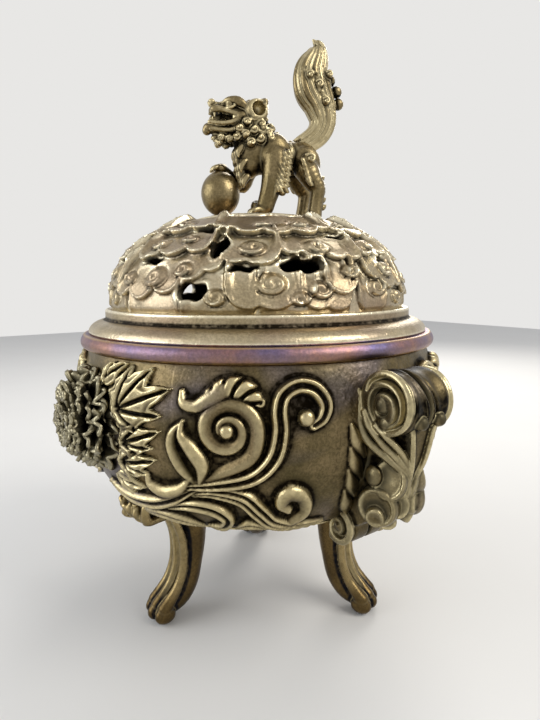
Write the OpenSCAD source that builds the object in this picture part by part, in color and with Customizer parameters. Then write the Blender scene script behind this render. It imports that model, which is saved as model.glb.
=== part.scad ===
// Incense burner in cast brass: a round bowl on three paw feet, with a turned
// mouth ring, two scroll handles, a peony on the front and on the back, strapwork
// scrolls between them, and a lid of pierced clouds that carries a lion finial.
// The origin is on the ground under the bowl's axis. A peony faces -Y, the
// handles lie on +X and -X, and the lid lifts off along +Z.

/* [Bowl] */
// Widest outer radius of the bowl
bowl_r = 67; // [64:0.5:72]
// Height of the bowl from its flat underside to its shoulder
bowl_h = 54; // [48:0.5:60]
// Height of the widest place above the underside
belly_h = 36; // [32:0.5:40]
// Thickness of the bowl's wall
bowl_wall = 3.2; // [2.6:0.1:4]
// Thickness of the bowl's floor
floor_t = 3.6; // [3:0.1:5]
// How far the flat underside's edge lies inside the widest radius
base_in = 12.5; // [10:0.5:15]
// How far the shoulder under the mouth ring draws in from the widest radius
shoulder_in = 3; // [2:0.25:4]

/* [Mouth ring] */
// How far the mouth's inner wall lies inside the shoulder's edge
mouth_in = 5.2; // [4.6:0.1:6.5]
// Height of the ring from the shoulder to the lid's seat
ring_h = 5.4; // [4.5:0.1:7]
// How far the ring stands proud of the shoulder
ring_proud = 3; // [2:0.1:4]
// Thickness of the ring's top land over the bowl's neck
ring_land = 1.4; // [1:0.1:2]

/* [Lid] */
// How far the lid's lowest step lies inside the mouth ring's edge
flange_in = 3; // [1.5:0.25:5]
// Height of the stepped flange
flange_h = 8.6; // [7:0.1:10]
// How far the dome's foot lies inside the lid's lowest step
dome_in = 9; // [8:0.25:11]
// Rise of the dome above the flange
dome_h = 33; // [28:0.5:38]
// Thickness of the dome's wall
dome_wall = 2.6; // [2:0.1:3.4]
// Roundness of the dome, where 2 is an ellipse and more is squarer
dome_power = 2.35; // [2:0.05:2.6]
// Depth of the locating lip that drops into the mouth
lip_h = 5; // [3:0.25:7]
// Thickness of the locating lip
lip_wall = 2.6; // [2:0.1:3.2]
// Radial clearance of the locating lip in the mouth
lip_clear = 0.5; // [0.3:0.05:0.8]
// Height of the raised clouds on the dome
cloud_h = 1.4; // [0.8:0.1:1.8]

/* [Lion] */
// Direction that the lion faces, from the front towards the right handle
lion_turn = -18; // [-180:1:180]
// Height of the finial from the crown plate to the tip of the tail
finial_h = 64.5; // [55:0.5:72]
// Radius of the scalloped crown plate under the lion
crown_r = 24; // [22:0.25:26]
// Thickness of the crown plate
crown_t = 1.6; // [1.2:0.1:2.2]
// Diameter of the bolt that holds the finial
finial_bolt_d = 4; // [3:0.5:5]

/* [Handles] */
// How far a handle stands out from the bowl's widest radius
handle_out = 17; // [14:0.5:20]
// Radius of the large roll at the top of a handle
roll_r = 9.5; // [8.5:0.25:10.5]
// Width of the large roll
roll_w = 20; // [16:0.5:24]
// Height of the large roll's centre above the bowl's underside
roll_z = 43; // [40:0.5:44]
// Radius of the small roll at the bottom of a handle
curl_r = 6.3; // [5.5:0.1:7]
// Width of the small roll
curl_w = 19; // [16:0.5:20]
// Narrowest width of the handle's neck
neck_w = 13.5; // [11:0.5:15]
// Turn of the pair of handles from the line through the peonies' flanks
handle_turn = 2; // [0:0.5:4]

/* [Peonies] */
// Diameter of a peony
peony_d = 43; // [38:0.5:45]
// Height of a peony's crown above the bowl's widest radius
peony_rise = 9; // [7:0.25:11]
// Thickness of the leaf sprays
leaf_t = 2; // [1.4:0.1:2.4]
// Height of the strapwork scrolls above the bowl's wall
strap_h = 2.6; // [1.8:0.1:3.2]
// Width of the strapwork's main bands
strap_w = 3.4; // [2.6:0.1:4]

/* [Legs] */
// Height of the legs, from the ground to the bowl's underside
leg_h = 49; // [44:0.5:56]
// Distance from the axis to the middle of a leg's top
leg_ring_r = 34; // [31:0.5:37]
// Width of a leg at its top
leg_top_w = 16; // [14:0.5:18]
// Width of a leg at its ankle
ankle_w = 10; // [8.5:0.25:11.5]
// Width of a paw
paw_w = 13; // [11.5:0.25:15]
// Distance from the axis to the tips of the toes
toe_r = 50; // [47:0.5:53]

/* [Fasteners] */
// Diameter of the screws that hold the legs
leg_screw_d = 5; // [4:0.5:6]
// Diameter of the screws that hold the handles and peonies
trim_screw_d = 4; // [3:0.5:5]
// Radial clearance of a screw in its plain hole
screw_clear = 0.15; // [0.1:0.05:0.3]
// Thickness of the washers
washer_t = 0.8; // [0.6:0.1:1.2]

/* [Hidden] */
$fn = 96;

brass = "#a98f5a";
dark_brass = "#75663a";
pale_brass = "#c9b988";
tinted_brass = "#9a7a7c";
bright_brass = "#bfa060";
steel = "#b9b4a8";

// Heights, from the ground up
belly_z = leg_h + belly_h;
shoulder_z = leg_h + bowl_h;
seat_z = shoulder_z + ring_h;
dome_z = seat_z + flange_h;
dome_top = dome_z + dome_h;
crown_top = dome_top + crown_t;

// Radii that follow from the bowl's widest one, and from the fits
base_r = bowl_r - base_in;
shoulder_r = bowl_r - shoulder_in;
mouth_r = shoulder_r - mouth_in;
flange_r = shoulder_r + ring_proud - flange_in;
dome_r = flange_r - dome_in;
handle_reach = bowl_r + handle_out;
neck_r = mouth_r + bowl_wall;
lip_r = mouth_r - lip_clear;
dome_seat = 2.4;
ledge_r = dome_r - dome_wall - 0.4;

// The ornament is drawn for a bowl 67 in radius and 54 high and a dome 33 high,
// and it grows with them
bowl_u = bowl_r / 67;
wall_u = bowl_h / 54;
dome_u = dome_h / 33;

// Places of the parts round the bowl
leg_angles = [0, 120, 240];
handle_angles = [90 + handle_turn, -90 + handle_turn];
flower_angles = [0, 180];
flower_z = leg_h + 33 * wall_u;
handle_screw_z = [leg_h + roll_z - 2, leg_h + 17];
spot_depth = 0.35;

// A point on a cubic curve, and a row of such points
function bez(p, t) = pow(1 - t, 3) * p[0] + 3 * t * pow(1 - t, 2) * p[1]
    + 3 * t * t * (1 - t) * p[2] + pow(t, 3) * p[3];
function curve(p, n, from = 0) = [for (i = [from:n]) bez(p, i / n)];
function swap(points) = [for (p = points) [p[1], p[0]]];
function back_to_front(list) = [for (i = [len(list) - 1:-1:0]) list[i]];

// The bowl's outer and inner outlines, from the underside up to the shoulder
bowl_outer = concat(
    curve([[base_r, leg_h + 1.6], [base_r + 7, leg_h + 6],
           [bowl_r, belly_z - 17], [bowl_r, belly_z]], 9),
    curve([[bowl_r, belly_z], [bowl_r, belly_z + 7],
           [shoulder_r + 1.8, shoulder_z - 5], [shoulder_r, shoulder_z]], 6, 1));
bowl_inner = concat(
    curve([[base_r - 7, leg_h + floor_t], [base_r + 1.5, leg_h + floor_t + 1],
           [bowl_r - bowl_wall, belly_z - 17], [bowl_r - bowl_wall, belly_z]], 9),
    curve([[bowl_r - bowl_wall, belly_z], [bowl_r - bowl_wall, belly_z + 7],
           [shoulder_r - bowl_wall + 1.8, shoulder_z - 5],
           [shoulder_r - bowl_wall, shoulder_z - 1]], 6, 1));
function outer_r(z) = lookup(z, swap(bowl_outer));
function inner_r(z) = lookup(z, swap(bowl_inner));

// The dome's outline, from its foot up to the crown
dome_steps = 10;
function dome_curve(r, h) = [for (i = [0:dome_steps]) let (t = 90 * i / dome_steps)
    [i == dome_steps ? 0 : r * pow(cos(t), 2 / dome_power), dome_z + h * pow(sin(t), 2 / dome_power)]];
dome_outer = dome_curve(dome_r, dome_h);
dome_inner = dome_curve(dome_r - dome_wall, dome_h - dome_wall);

// Turns a part that is modelled at the front to its place round the axis
module at_angle(a) { rotate([0, 0, a]) children(); }

// Lays local Z along the outward radius at the front, at height z
module outward(z, r = 0) { translate([0, -r, z]) rotate([90, 0, 0]) children(); }

// The whole space inside the bowl's outer outline, grown by a step in radius
module bowl_space(grow = 0) {
    rotate_extrude($fn = 120)
        polygon(concat([[0, leg_h]], [[base_r - 0.6 + grow, leg_h]],
            [for (p = bowl_outer) p + [grow, 0]], [[0, shoulder_z]]));
}

// ---------------------------------------------------------------- bowl
module bowl() {
    color(dark_brass)
    difference() {
        rotate_extrude($fn = 120)
            polygon(concat(
                [[0, leg_h], [base_r - 0.6, leg_h], [base_r - 0.6, leg_h + 1]],
                bowl_outer,
                [[neck_r, shoulder_z], [neck_r, seat_z - ring_land], [mouth_r, seat_z - ring_land],
                 [mouth_r, shoulder_z + 1]],
                back_to_front(bowl_inner),
                [[0, leg_h + floor_t]]));
        for (a = leg_angles) at_angle(a)
            translate([0, -leg_ring_r, leg_h - 1])
                cylinder(r = leg_screw_d / 2 + screw_clear, h = floor_t + 2, $fn = 32);
        for (a = handle_angles, z = handle_screw_z) at_angle(a) wall_hole(z);
        for (a = flower_angles) at_angle(a) wall_hole(flower_z);
    }
}

// A plain hole through the wall with a flat spot inside for a washer
module wall_hole(z) {
    outward(z, inner_r(z) - 4)
        cylinder(r = trim_screw_d / 2 + screw_clear, h = bowl_wall + 12, $fn = 32);
    outward(z, inner_r(z) - 8)
        cylinder(r = spot_r(), h = 8 + spot_depth, $fn = 40);
}
function spot_r() = trim_screw_d + 1;
function spot_y(z) = inner_r(z) + spot_depth;

module mouth_ring() {
    top_r = shoulder_r + ring_proud;
    color(tinted_brass)
    rotate_extrude($fn = 120)
        polygon(concat(
            [[neck_r, shoulder_z], [shoulder_r - 0.6, shoulder_z], [shoulder_r - 0.6, shoulder_z + 0.8],
             [top_r - 0.9, shoulder_z + 0.8]],
            curve([[top_r - 0.9, shoulder_z + 0.8], [top_r + 0.3, shoulder_z + 1.8],
                   [top_r + 0.3, seat_z - 1.6], [top_r - 1.4, seat_z]], 6, 1),
            [[mouth_r, seat_z], [mouth_r, seat_z - ring_land], [neck_r, seat_z - ring_land]]));
}

// ---------------------------------------------------------------- legs
// A closed skin over a row of rings that have the same number of points
module loft(rings) {
    n = len(rings[0]);
    m = len(rings);
    function mid(ring) = [for (i = [0:2]) [for (p = ring) p[i]] * [for (p = ring) 1 / n]];
    polyhedron(
        points = concat([for (r = rings) each r], [mid(rings[0]), mid(rings[m - 1])]),
        faces = concat(
            [for (k = [0:m - 2], i = [0:n - 1]) let (j = (i + 1) % n)
                each [[k * n + i, k * n + j, (k + 1) * n + j], [k * n + i, (k + 1) * n + j, (k + 1) * n + i]]],
            [for (i = [0:n - 1]) [(i + 1) % n, i, m * n]],
            [for (i = [0:n - 1]) [(m - 1) * n + i, (m - 1) * n + (i + 1) % n, m * n + 1]]));
}

// A section of the leg: its centre's radius and height, its tilt, and its two half widths.
// Two shallow flutes run down the outer side.
function leg_section(s) = let (r = s[0], z = s[1], tilt = s[2], a = s[3], b = s[4])
    [for (i = [0:15]) let (t = 22.5 * i, flute = 1 - 0.16 * (abs(i - 4) == 1 ? 1 : 0))
        [-b * flute * cos(t), -r - a * flute * sin(t) * cos(tilt), z - a * flute * sin(t) * sin(tilt)]];

leg_path = [
    [leg_ring_r, leg_h + 0.6, 0, leg_top_w * 0.56, leg_top_w / 2],
    [leg_ring_r - 1, leg_h - 5, 2, leg_top_w * 0.48, leg_top_w * 0.47],
    [leg_ring_r - 2.2, leg_h * 0.76, -4, ankle_w * 0.62, ankle_w * 0.6],
    [leg_ring_r - 2.2, leg_h * 0.58, -6, ankle_w * 0.5, ankle_w * 0.52],
    [leg_ring_r - 1, leg_h * 0.42, -14, ankle_w * 0.48, ankle_w * 0.5],
    [leg_ring_r + 0.8, leg_h * 0.25, -28, ankle_w * 0.52, ankle_w * 0.52],
    [leg_ring_r + 3.8, ankle_w * 0.58, -50, ankle_w * 0.54, paw_w * 0.44],
    [leg_ring_r + 8, ankle_w * 0.42, -74, ankle_w * 0.48, paw_w * 0.47],
    [toe_r - 4, ankle_w * 0.32, -86, ankle_w * 0.4, paw_w * 0.48]];

module leg() {
    color(bright_brass)
    difference() {
        union() {
            loft([for (s = leg_path) leg_section(s)]);
            for (x = [-1, 0, 1]) toe(x);
            knee_scroll();
        }
        translate([-20, -toe_r - 5, -10]) cube([40, toe_r, 10]);
        translate([0, -leg_ring_r, leg_h - 14])
            cylinder(r = leg_screw_d / 2, h = 15, $fn = 32);
        bowl_space();
    }
}

// One of three toes: distance back from the toe's tip and share of its radius, ring by ring
toe_rings = [[7, 0.86], [5, 1], [2.6, 1.08], [1.1, 0.92], [0.3, 0.6], [0, 0.25]];
module toe(x) {
    toe_w = paw_w / 5.4;
    loft([for (s = toe_rings)
        [for (i = [0:9]) let (t = 36 * i)
            [x * paw_w * 0.31 - toe_w * s[1] * cos(t), -toe_r + abs(x) * 1.4 + s[0],
             toe_w * (0.8 + s[0] * 0.07) + toe_w * s[1] * sin(t)]]]);
}

// The curled leaf on the outside of a leg, which follows the bowl's underside
module knee_scroll() {
    knee_r = base_r + 1;
    knee_w = leg_top_w * 0.9;
    translate([0, -knee_r + 1.5, leg_h - 1]) rotate([0, 90, 0])
        cylinder(r = 3, h = knee_w, center = true, $fn = 32);
    for (x = [-0.3, 0.3]) translate([x * knee_w * 1.25, -knee_r - 0.5, leg_h + 1.2])
        sphere(r = 3.1, $fn = 24);
    translate([-knee_w / 2 + 0.5, -knee_r + 1, leg_h - 3.4])
        cube([knee_w - 1, knee_r - leg_ring_r - 2, 5]);
}

// A pan-head screw along +Z, with its head's underside at z = 0
module pan_screw(d, length) {
    difference() {
        union() {
            translate([0, 0, -length]) cylinder(r = d / 2, h = length, $fn = 32);
            cylinder(r = d, h = d * 0.45, $fn = 40);
            translate([0, 0, d * 0.45]) cylinder(r1 = d, r2 = d * 0.8, h = d * 0.2, $fn = 40);
        }
        translate([-d, -d * 0.13, d * 0.35]) cube([2 * d, d * 0.26, d]);
    }
}

module washer(d) {
    difference() {
        cylinder(r = d + 0.6, h = washer_t, $fn = 40);
        translate([0, 0, -1]) cylinder(r = d / 2 + screw_clear, h = washer_t + 2, $fn = 32);
    }
}

module leg_screws() {
    color(steel)
    for (a = leg_angles) at_angle(a)
        translate([0, -leg_ring_r, leg_h + floor_t + washer_t]) pan_screw(leg_screw_d, floor_t + 12);
}

module leg_washers() {
    color(steel)
    for (a = leg_angles) at_angle(a)
        translate([0, -leg_ring_r, leg_h + floor_t]) washer(leg_screw_d);
}

// ---------------------------------------------------------------- handles
// A band that winds inwards like a watch spring, as points of a flat outline
function spiral_band(r_out, turns, w_out, w_in, start, step = 20) =
    let (n = ceil(360 * turns / step), r_in = w_in * 0.6,
         mid = function (i) r_out - w_out / 2 - (r_out - w_out / 2 - r_in) * i / n,
         half = function (i) (w_out + (w_in - w_out) * i / n) / 2)
    concat([for (i = [0:n]) let (t = start + step * i) (mid(i) + half(i)) * [cos(t), sin(t)]],
           [for (i = [n:-1:0]) let (t = start + step * i) (mid(i) - half(i)) * [cos(t), sin(t)]]);

roll_centre = [handle_reach - roll_r, leg_h + roll_z];
curl_centre = [base_r + 3, leg_h - 0.4];

// The handle seen from its side, radius across and height up
module handle_side() {
    translate(roll_centre) circle(r = roll_r, $fn = 64);
    translate(curl_centre) circle(r = curl_r, $fn = 48);
    polygon(concat(
        [roll_centre + [0, 2]],
        curve([roll_centre + [5, 0], roll_centre + [4.6, -9],
               roll_centre + [3.6, -16], [bowl_r + 10, leg_h + 20]], 6, 1),
        [[bowl_r - 8, leg_h + 20], [bowl_r - 8, roll_centre[1] + 2]]));
    polygon(concat(
        curve([[bowl_r + 10, leg_h + 20.5], [bowl_r + 9.4, leg_h + 11],
               [bowl_r + 7.6, leg_h + 4.5], [bowl_r - 3, leg_h + 3.5]], 10),
        [curl_centre + [curl_r * 0.7, curl_r * 0.5], curl_centre,
         [bowl_r - 12, leg_h + 16], [bowl_r - 6, roll_centre[1] - 5]]));
}

// The handle seen from outside, width across and height up
module handle_front() {
    top = leg_h + roll_z;
    half = concat(
        [[0, top + roll_r + 2], [roll_w / 2, top + roll_r + 2], [roll_w / 2, top - roll_r * 0.8]],
        curve([[roll_w / 2, top - roll_r * 0.8], [neck_w * 0.42, top - 15],
               [neck_w * 0.5, leg_h + 25], [roll_w * 0.43, leg_h + 18]], 6, 1),
        curve([[roll_w * 0.43, leg_h + 18], [roll_w * 0.5, leg_h + 12],
               [curl_w * 0.45, leg_h + 9], [curl_w / 2, leg_h + 5]], 5, 1),
        [[curl_w / 2, leg_h - curl_r - 2], [0, leg_h - curl_r - 2]]);
    polygon(half);
    mirror([1, 0]) polygon(half);
}

module handle(a) {
    color(brass)
    at_angle(a)
    difference() {
        union() {
            intersection() {
                rotate([90, 0, -90]) translate([0, 0, -roll_w])
                    linear_extrude(2 * roll_w) handle_side();
                rotate([90, 0, 0]) translate([0, 0, base_r - 20])
                    linear_extrude(60) handle_front();
            }
            handle_petals();
        }
        bowl_space();
        for (z = handle_screw_z) outward(z, outer_r(z) - 5)
            cylinder(r = trim_screw_d / 2, h = 5 + 5.5, $fn = 32);
        for (side = [-1, 1]) roll_spiral(side);
    }
}

// The groove that winds into each end of the two rolls
module roll_spiral(side) {
    depth = 0.9;
    translate([side * (roll_w / 2 - (side > 0 ? depth : -depth) * side), 0, 0])
        rotate([90, 0, -90]) translate([0, 0, -depth]) linear_extrude(2 * depth) {
            translate(roll_centre) polygon(spiral_band(roll_r - 1.6, 1.6, 1.3, 1.1, 100));
        }
    translate([side * (curl_w / 2 - (side > 0 ? depth : -depth) * side), 0, 0])
        rotate([90, 0, -90]) translate([0, 0, -depth]) linear_extrude(2 * depth) {
            translate(curl_centre) polygon(spiral_band(curl_r - 1.2, 1.3, 1.1, 0.9, 60));
        }
}

// Rounded petals on the handle's belly, and the beads under the roll
module handle_petals() {
    for (side = [-1, 1], p = [[4.8, 4.6, 19.4], [5.4, 3.4, 11.4], [3, 2.2, 6.2]] * bowl_u)
        translate([side * p[0], -bowl_r - p[1], leg_h + p[2]]) sphere(r = 4.6 * bowl_u, $fn = 32);
    for (side = [-1, 1])
        translate([side * 3.9, -roll_centre[0] - roll_r * 0.72, roll_centre[1] - roll_r * 0.52])
            sphere(r = 2.2, $fn = 24);
}

// A trim screw, pushed outwards through the wall into the part that it holds
module trim_screw(z) {
    head_y = spot_y(z) - washer_t;
    outward(z, head_y) rotate([180, 0, 0]) pan_screw(trim_screw_d, washer_t + bowl_wall + 4);
}
module trim_washer(z) { outward(z, spot_y(z) - washer_t) washer(trim_screw_d - 0.2); }

module handle_screws() {
    color(steel) for (a = handle_angles, z = handle_screw_z) at_angle(a) trim_screw(z);
}
module handle_washers() {
    color(steel) for (a = handle_angles, z = handle_screw_z) at_angle(a) trim_washer(z);
}

// ---------------------------------------------------------------- peonies
peony_rings = 9;
peony_sectors = 32;
peony_boss_r = 8;

// Height of the flower over the bowl at a ring and an angle. Every other ring stands
// up as the frill of one row of petals, and the ring after it lies low behind them.
function petal_height(k, t) = let (
        u = k / peony_rings,
        crown = bowl_r + peony_rise - 0.3 * peony_d * pow(u, 2.4),
        frill = (k % 2 == 0 ? 1 : -1) * (1.1 + 0.3 * sin(5 * t + 40 * k)),
        wave = 0.8 * sin(9 * t + 70 * k))
    crown + (k == peony_rings ? -2 : frill + wave);

function peony_point(k, t) = let (
        edge = 1 + (k == peony_rings ? 0.05 * sin(9 * t) : 0),
        r = peony_d / 2 * 0.95 * edge * k / peony_rings,
        turn = t + 6 * sin(5 * t + 60 * k))
    [r * cos(turn), r * sin(turn)];

// How far behind the flower the bowl lies at a point, measured along its screw
function wall_behind(p) = let (r = outer_r(flower_z + p[1])) sqrt(r * r - p[0] * p[0]);

module peony(a) {
    n = peony_sectors;
    m = peony_rings;
    front = [for (k = [1:m], i = [0:n - 1]) let (p = peony_point(k, 360 * i / n))
        [p[0], -max(petal_height(k, 360 * i / n), wall_behind(p) + leaf_t + 1.4), flower_z + p[1]]];
    rear = [for (k = [m:-1:3], i = [0:n - 1]) let (p = peony_point(k, 360 * i / n))
        [p[0], -wall_behind(p) - leaf_t - 0.4, flower_z + p[1]]];
    points = concat([[0, -bowl_r - peony_rise - 0.5, flower_z]], front, rear,
                    [[0, -wall_behind([0, 0]) - leaf_t - 0.4, flower_z]]);
    rows = 2 * m - 2;
    last = len(points) - 1;
    color(brass)
    at_angle(a) {
        difference() {
            union() {
                polyhedron(points = points, faces = concat(
                    [for (i = [0:n - 1]) [0, 1 + (i + 1) % n, 1 + i]],
                    [for (k = [0:rows - 2], i = [0:n - 1]) let (j = (i + 1) % n, b = 1 + k * n)
                        each [[b + i, b + j, b + n + j], [b + i, b + n + j, b + n + i]]],
                    [for (i = [0:n - 1]) [last, last - n + i, last - n + (i + 1) % n]]));
                outward(flower_z, bowl_r - 3) cylinder(r = peony_boss_r, h = 7, $fn = 40);
            }
            bowl_space();
            outward(flower_z, bowl_r - 4) cylinder(r = trim_screw_d / 2, h = 9, $fn = 32);
        }
    }
}

module peony_screws() { color(steel) for (a = flower_angles) at_angle(a) trim_screw(flower_z); }
module peony_washers() { color(steel) for (a = flower_angles) at_angle(a) trim_washer(flower_z); }

// A layer that lies on the bowl's wall, from the wall outwards
module wall_layer(t) {
    rotate_extrude($fn = 120)
        polygon(concat([for (p = bowl_outer) if (p[1] > leg_h + 2) p],
            back_to_front([for (p = bowl_outer) if (p[1] > leg_h + 2) p + [t, 0]])));
}

// One pointed leaf with side lobes, its stem end at the origin and its tip along +X
module leaf_shape(length, width) {
    lobes = [[0, 0.06], [0.16, 0.22], [0.1, 0.52], [0.34, 0.4], [0.5, 0.5], [0.58, 0.26], [0.8, 0.24], [1, 0]];
    polygon(concat([for (p = lobes) [p[0] * length, p[1] * width]],
                   [for (p = back_to_front(lobes)) if (p[1] > 0) [p[0] * length, -p[1] * width]]));
}

// Leaves round one side of a flower: distance out, height from the flower's centre, turn, length
leaf_places = [[13, 7, 18, 22], [14, -6, -24, 16], [12, -12, -36, 9]];
module leaf_spray_shape() {
    translate([0, flower_z]) scale([bowl_u, wall_u]) {
        for (side = [0, 1]) mirror([side, 0])
            for (p = leaf_places)
                translate([p[0], p[1]]) rotate(p[2]) leaf_shape(p[3], p[3] * 0.95);
        circle(r = 15, $fn = 64);
    }
}

module peony_leaves(a) {
    color(brass)
    at_angle(a)
    difference() {
        intersection() {
            rotate([90, 0, 0]) translate([0, 0, 20]) linear_extrude(60) leaf_spray_shape();
            wall_layer(leaf_t);
        }
        outward(flower_z, bowl_r - 6) cylinder(r = peony_boss_r + 0.2, h = 14, $fn = 40);
    }
}

// ---------------------------------------------------------------- strapwork scrolls
// A band along a row of points, wide in its middle and narrow at both ends
function band(points, w) = let (n = len(points) - 1,
        side = function (i) let (d = points[min(n, i + 1)] - points[max(0, i - 1)])
            [-d[1], d[0]] / norm(d) * w / 2 * (0.1 + 0.9 * pow(sin(180 * (0.03 + 0.94 * i / n)), 0.7)))
    concat([for (i = [0:n]) points[i] + side(i)], [for (i = [n:-1:0]) points[i] - side(i)]);

// The flat pattern of one quarter, measured from the middle of the quarter
// outwards to the handle, and up from the bowl's underside
module scroll_shape() {
    // The large volute and the arm that leaves it
    big = [4.2, 35];
    translate(big) polygon(spiral_band(10.4, 1.7, strap_w, strap_w * 0.6, -30));
    polygon(band(curve([big + [9, -4], big + [7, -12], big + [-3, -12], big + [-12, -15.5]], 9), strap_w));
    // The tall scroll beside it, with its round boss
    polygon(band(concat(
        curve([[27, 38], [35, 41], [34, 50], [24.5, 50]], 8),
        curve([[24.5, 50], [12, 50], [23, 33], [15, 25]], 9, 1),
        curve([[15, 25], [10, 20.5], [0, 22], [-9, 17]], 7, 1)), strap_w));
    translate([27, 38.2]) circle(r = 2.7, $fn = 32);
    // The curled leaf over the large volute
    polygon(band(curve([[-8, 44], [-3, 49], [8, 50], [15, 44.6]], 8), strap_w * 1.3));
    // The split leaf at its left
    polygon(band(curve([[-9.3, 37], [-14, 29], [-6, 27], [-8, 18]], 8), strap_w * 1.4));
    // The bundle of long leaves under them
    polygon(band(curve([[-9, 17.5], [4, 20], [9, 12], [20, 8]], 8), strap_w));
    polygon(band(curve([[-12, 16], [-6, 15], [0, 13], [3, 7]], 7), strap_w * 1.2));
    polygon(band(curve([[-29, 11], [-23, 10], [-17, 12], [-8, 17.5]], 8), strap_w * 1.3));
    // The small volute at the foot
    translate([25.4, 11.6]) polygon(spiral_band(5.8, 1.2, strap_w * 0.6, strap_w * 0.42, 200, 24));
}

module scroll(a, flip) {
    color(bright_brass)
    at_angle(a)
    intersection() {
        rotate([90, 0, 0]) translate([0, 0, 20]) linear_extrude(60)
            translate([0, leg_h]) scale([bowl_u, wall_u]) mirror([flip, 0]) scroll_shape();
        wall_layer(strap_h);
    }
}

// ---------------------------------------------------------------- lid
module lid_flange() {
    step_in = dome_r + 2.9;
    color(pale_brass)
    rotate_extrude($fn = 120)
        polygon(concat(
            [[lip_r - lip_wall, seat_z - lip_h], [lip_r - 0.6, seat_z - lip_h], [lip_r, seat_z - lip_h + 0.6],
             [lip_r, seat_z], [flange_r - 0.4, seat_z], [flange_r, seat_z + 0.5]],
            curve([[flange_r, seat_z + 0.5], [flange_r, seat_z + 2.4],
                   [flange_r - 2, seat_z + 4.2], [step_in + 0.4, seat_z + 4.8]], 5, 1),
            [[step_in, seat_z + 5.2]],
            curve([[step_in, dome_z - 1], [step_in, dome_z - 0.3],
                   [step_in - 0.3, dome_z], [step_in - 1, dome_z]], 3),
            [[dome_r, dome_z], [dome_r, dome_z - dome_seat], [ledge_r, dome_z - dome_seat],
             [ledge_r, seat_z + 3.4], [lip_r - lip_wall, seat_z + 2]]));
}

// Openings in the dome, each repeated three times: angle round the lid, height of
// the middle above the dome's foot, width, height and slant
vents = [
    [34.5, 7.5, 11, 5.4, 0], [43, 20.5, 5.5, 8.5, 24], [74, 15, 16, 5, -4],
    [55, 14, 12, 1.8, 4], [16, 18.5, 7, 2.6, 10], [34, 25.5, 8, 2.6, 8]];
// Raised clouds, in the same terms: angle, height, size and turn
clouds = [
    [20, 8, 8, 200], [50, 7, 9, -20], [60, 20, 8.5, 160], [84, 20.5, 8, 20],
    [92, 8, 9, 10], [108, 16, 8, 170]];

// Lays local Z outwards through the dome at an angle and a height over its foot
module on_dome(a, h) {
    r = dome_r * pow(max(0, 1 - pow(h / dome_h, dome_power)), 1 / dome_power);
    tilt = atan2(h * 1.15, r);
    at_angle(a) translate([0, -r, dome_z + h]) rotate([90 - tilt, 0, 0]) children();
}

// A cloud seen flat: overlapping lobes along a drawn-out tail
module cloud_shape(s) {
    circle(r = s * 0.62, $fn = 40);
    translate([s * 0.75, -s * 0.18]) circle(r = s * 0.48, $fn = 40);
    translate([-s * 0.72, -s * 0.1]) circle(r = s * 0.5, $fn = 40);
    translate([s * 0.2, -s * 0.45]) circle(r = s * 0.45, $fn = 40);
}

module dome_layer(from, to) {
    rotate_extrude($fn = 120)
        polygon(concat(
            [for (p = dome_curve(dome_r + to, dome_h + to)) p],
            back_to_front(dome_curve(dome_r + from, dome_h + from))));
}

module lid_dome() {
    color(pale_brass)
    difference() {
        union() {
            rotate_extrude($fn = 120)
                polygon(concat(
                    [[dome_r - dome_wall, dome_z - dome_seat], [dome_r, dome_z - dome_seat]],
                    dome_outer, back_to_front(dome_inner)));
            intersection() {
                dome_layer(-0.5, cloud_h);
                for (k = [0:2], c = clouds)
                    on_dome(c[0] + 120 * k, c[1] * dome_u) rotate(c[3])
                        translate([0, 0, -2]) linear_extrude(8) cloud_shape(c[2] * dome_u);
            }
        }
        for (k = [0:2], v = vents)
            on_dome(v[0] + 120 * k, v[1] * dome_u) rotate(v[4])
                translate([0, 0, -9]) linear_extrude(18) vent_shape(v[2] * dome_u, v[3] * dome_u);
        translate([0, 0, dome_top - dome_wall - 2])
            cylinder(r = finial_bolt_d / 2 + screw_clear, h = dome_wall + 6, $fn = 32);
        translate([0, 0, dome_top - dome_wall - 6]) cylinder(r = finial_bolt_d + 1.6, h = 6, $fn = 40);
    }
}

// A slot with pointed ends, as two clouds leave between them
module vent_shape(w, h) {
    polygon([[-w / 2, -h * 0.2], [-w * 0.3, -h / 2], [w * 0.36, -h / 2], [w / 2, 0],
             [w * 0.3, h / 2], [-w * 0.4, h * 0.44]]);
}

// ---------------------------------------------------------------- finial
// The scalloped plate that caps the dome
module crown_plate() {
    lobes = 10;
    color(pale_brass)
    difference() {
        intersection() {
            translate([0, 0, dome_z]) linear_extrude(dome_h + 10) {
                circle(r = crown_r - 3.4, $fn = 64);
                for (i = [0:lobes - 1]) rotate(360 * i / lobes)
                    translate([crown_r - 6, 0]) circle(r = 6, $fn = 40);
            }
            dome_layer(0, crown_t);
        }
        translate([0, 0, dome_top - 4]) cylinder(r = finial_bolt_d / 2 + screw_clear, h = 10, $fn = 32);
    }
}

// The bolt runs up through the dome and the plate into a boss between the lion's legs
boss_r = 4.4;
boss_h = 7;
module finial_bolt() {
    color(steel)
    translate([0, 0, dome_top - dome_wall - 6])
        cylinder(r = finial_bolt_d / 2, h = 6 + dome_wall + crown_t + boss_h - 2, $fn = 32);
}
module finial_washer() {
    color(steel) translate([0, 0, dome_top - dome_wall - washer_t]) washer(finial_bolt_d);
}
module finial_nut() {
    nut_h = finial_bolt_d * 0.8;
    color(steel)
    translate([0, 0, dome_top - dome_wall - washer_t - nut_h])
    difference() {
        cylinder(r = finial_bolt_d, h = nut_h, $fn = 6);
        translate([0, 0, -1]) cylinder(r = finial_bolt_d / 2, h = nut_h + 2, $fn = 32);
    }
}

// The lion's own frame: X forwards, Y to its left, Z up from the plate, in units
// that make the finial 64.5 high
lion_u = finial_h / 64.5;
module lion_frame() {
    translate([0, 0, crown_top]) rotate([0, 0, lion_turn - 90]) scale(lion_u) children();
}

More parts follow.
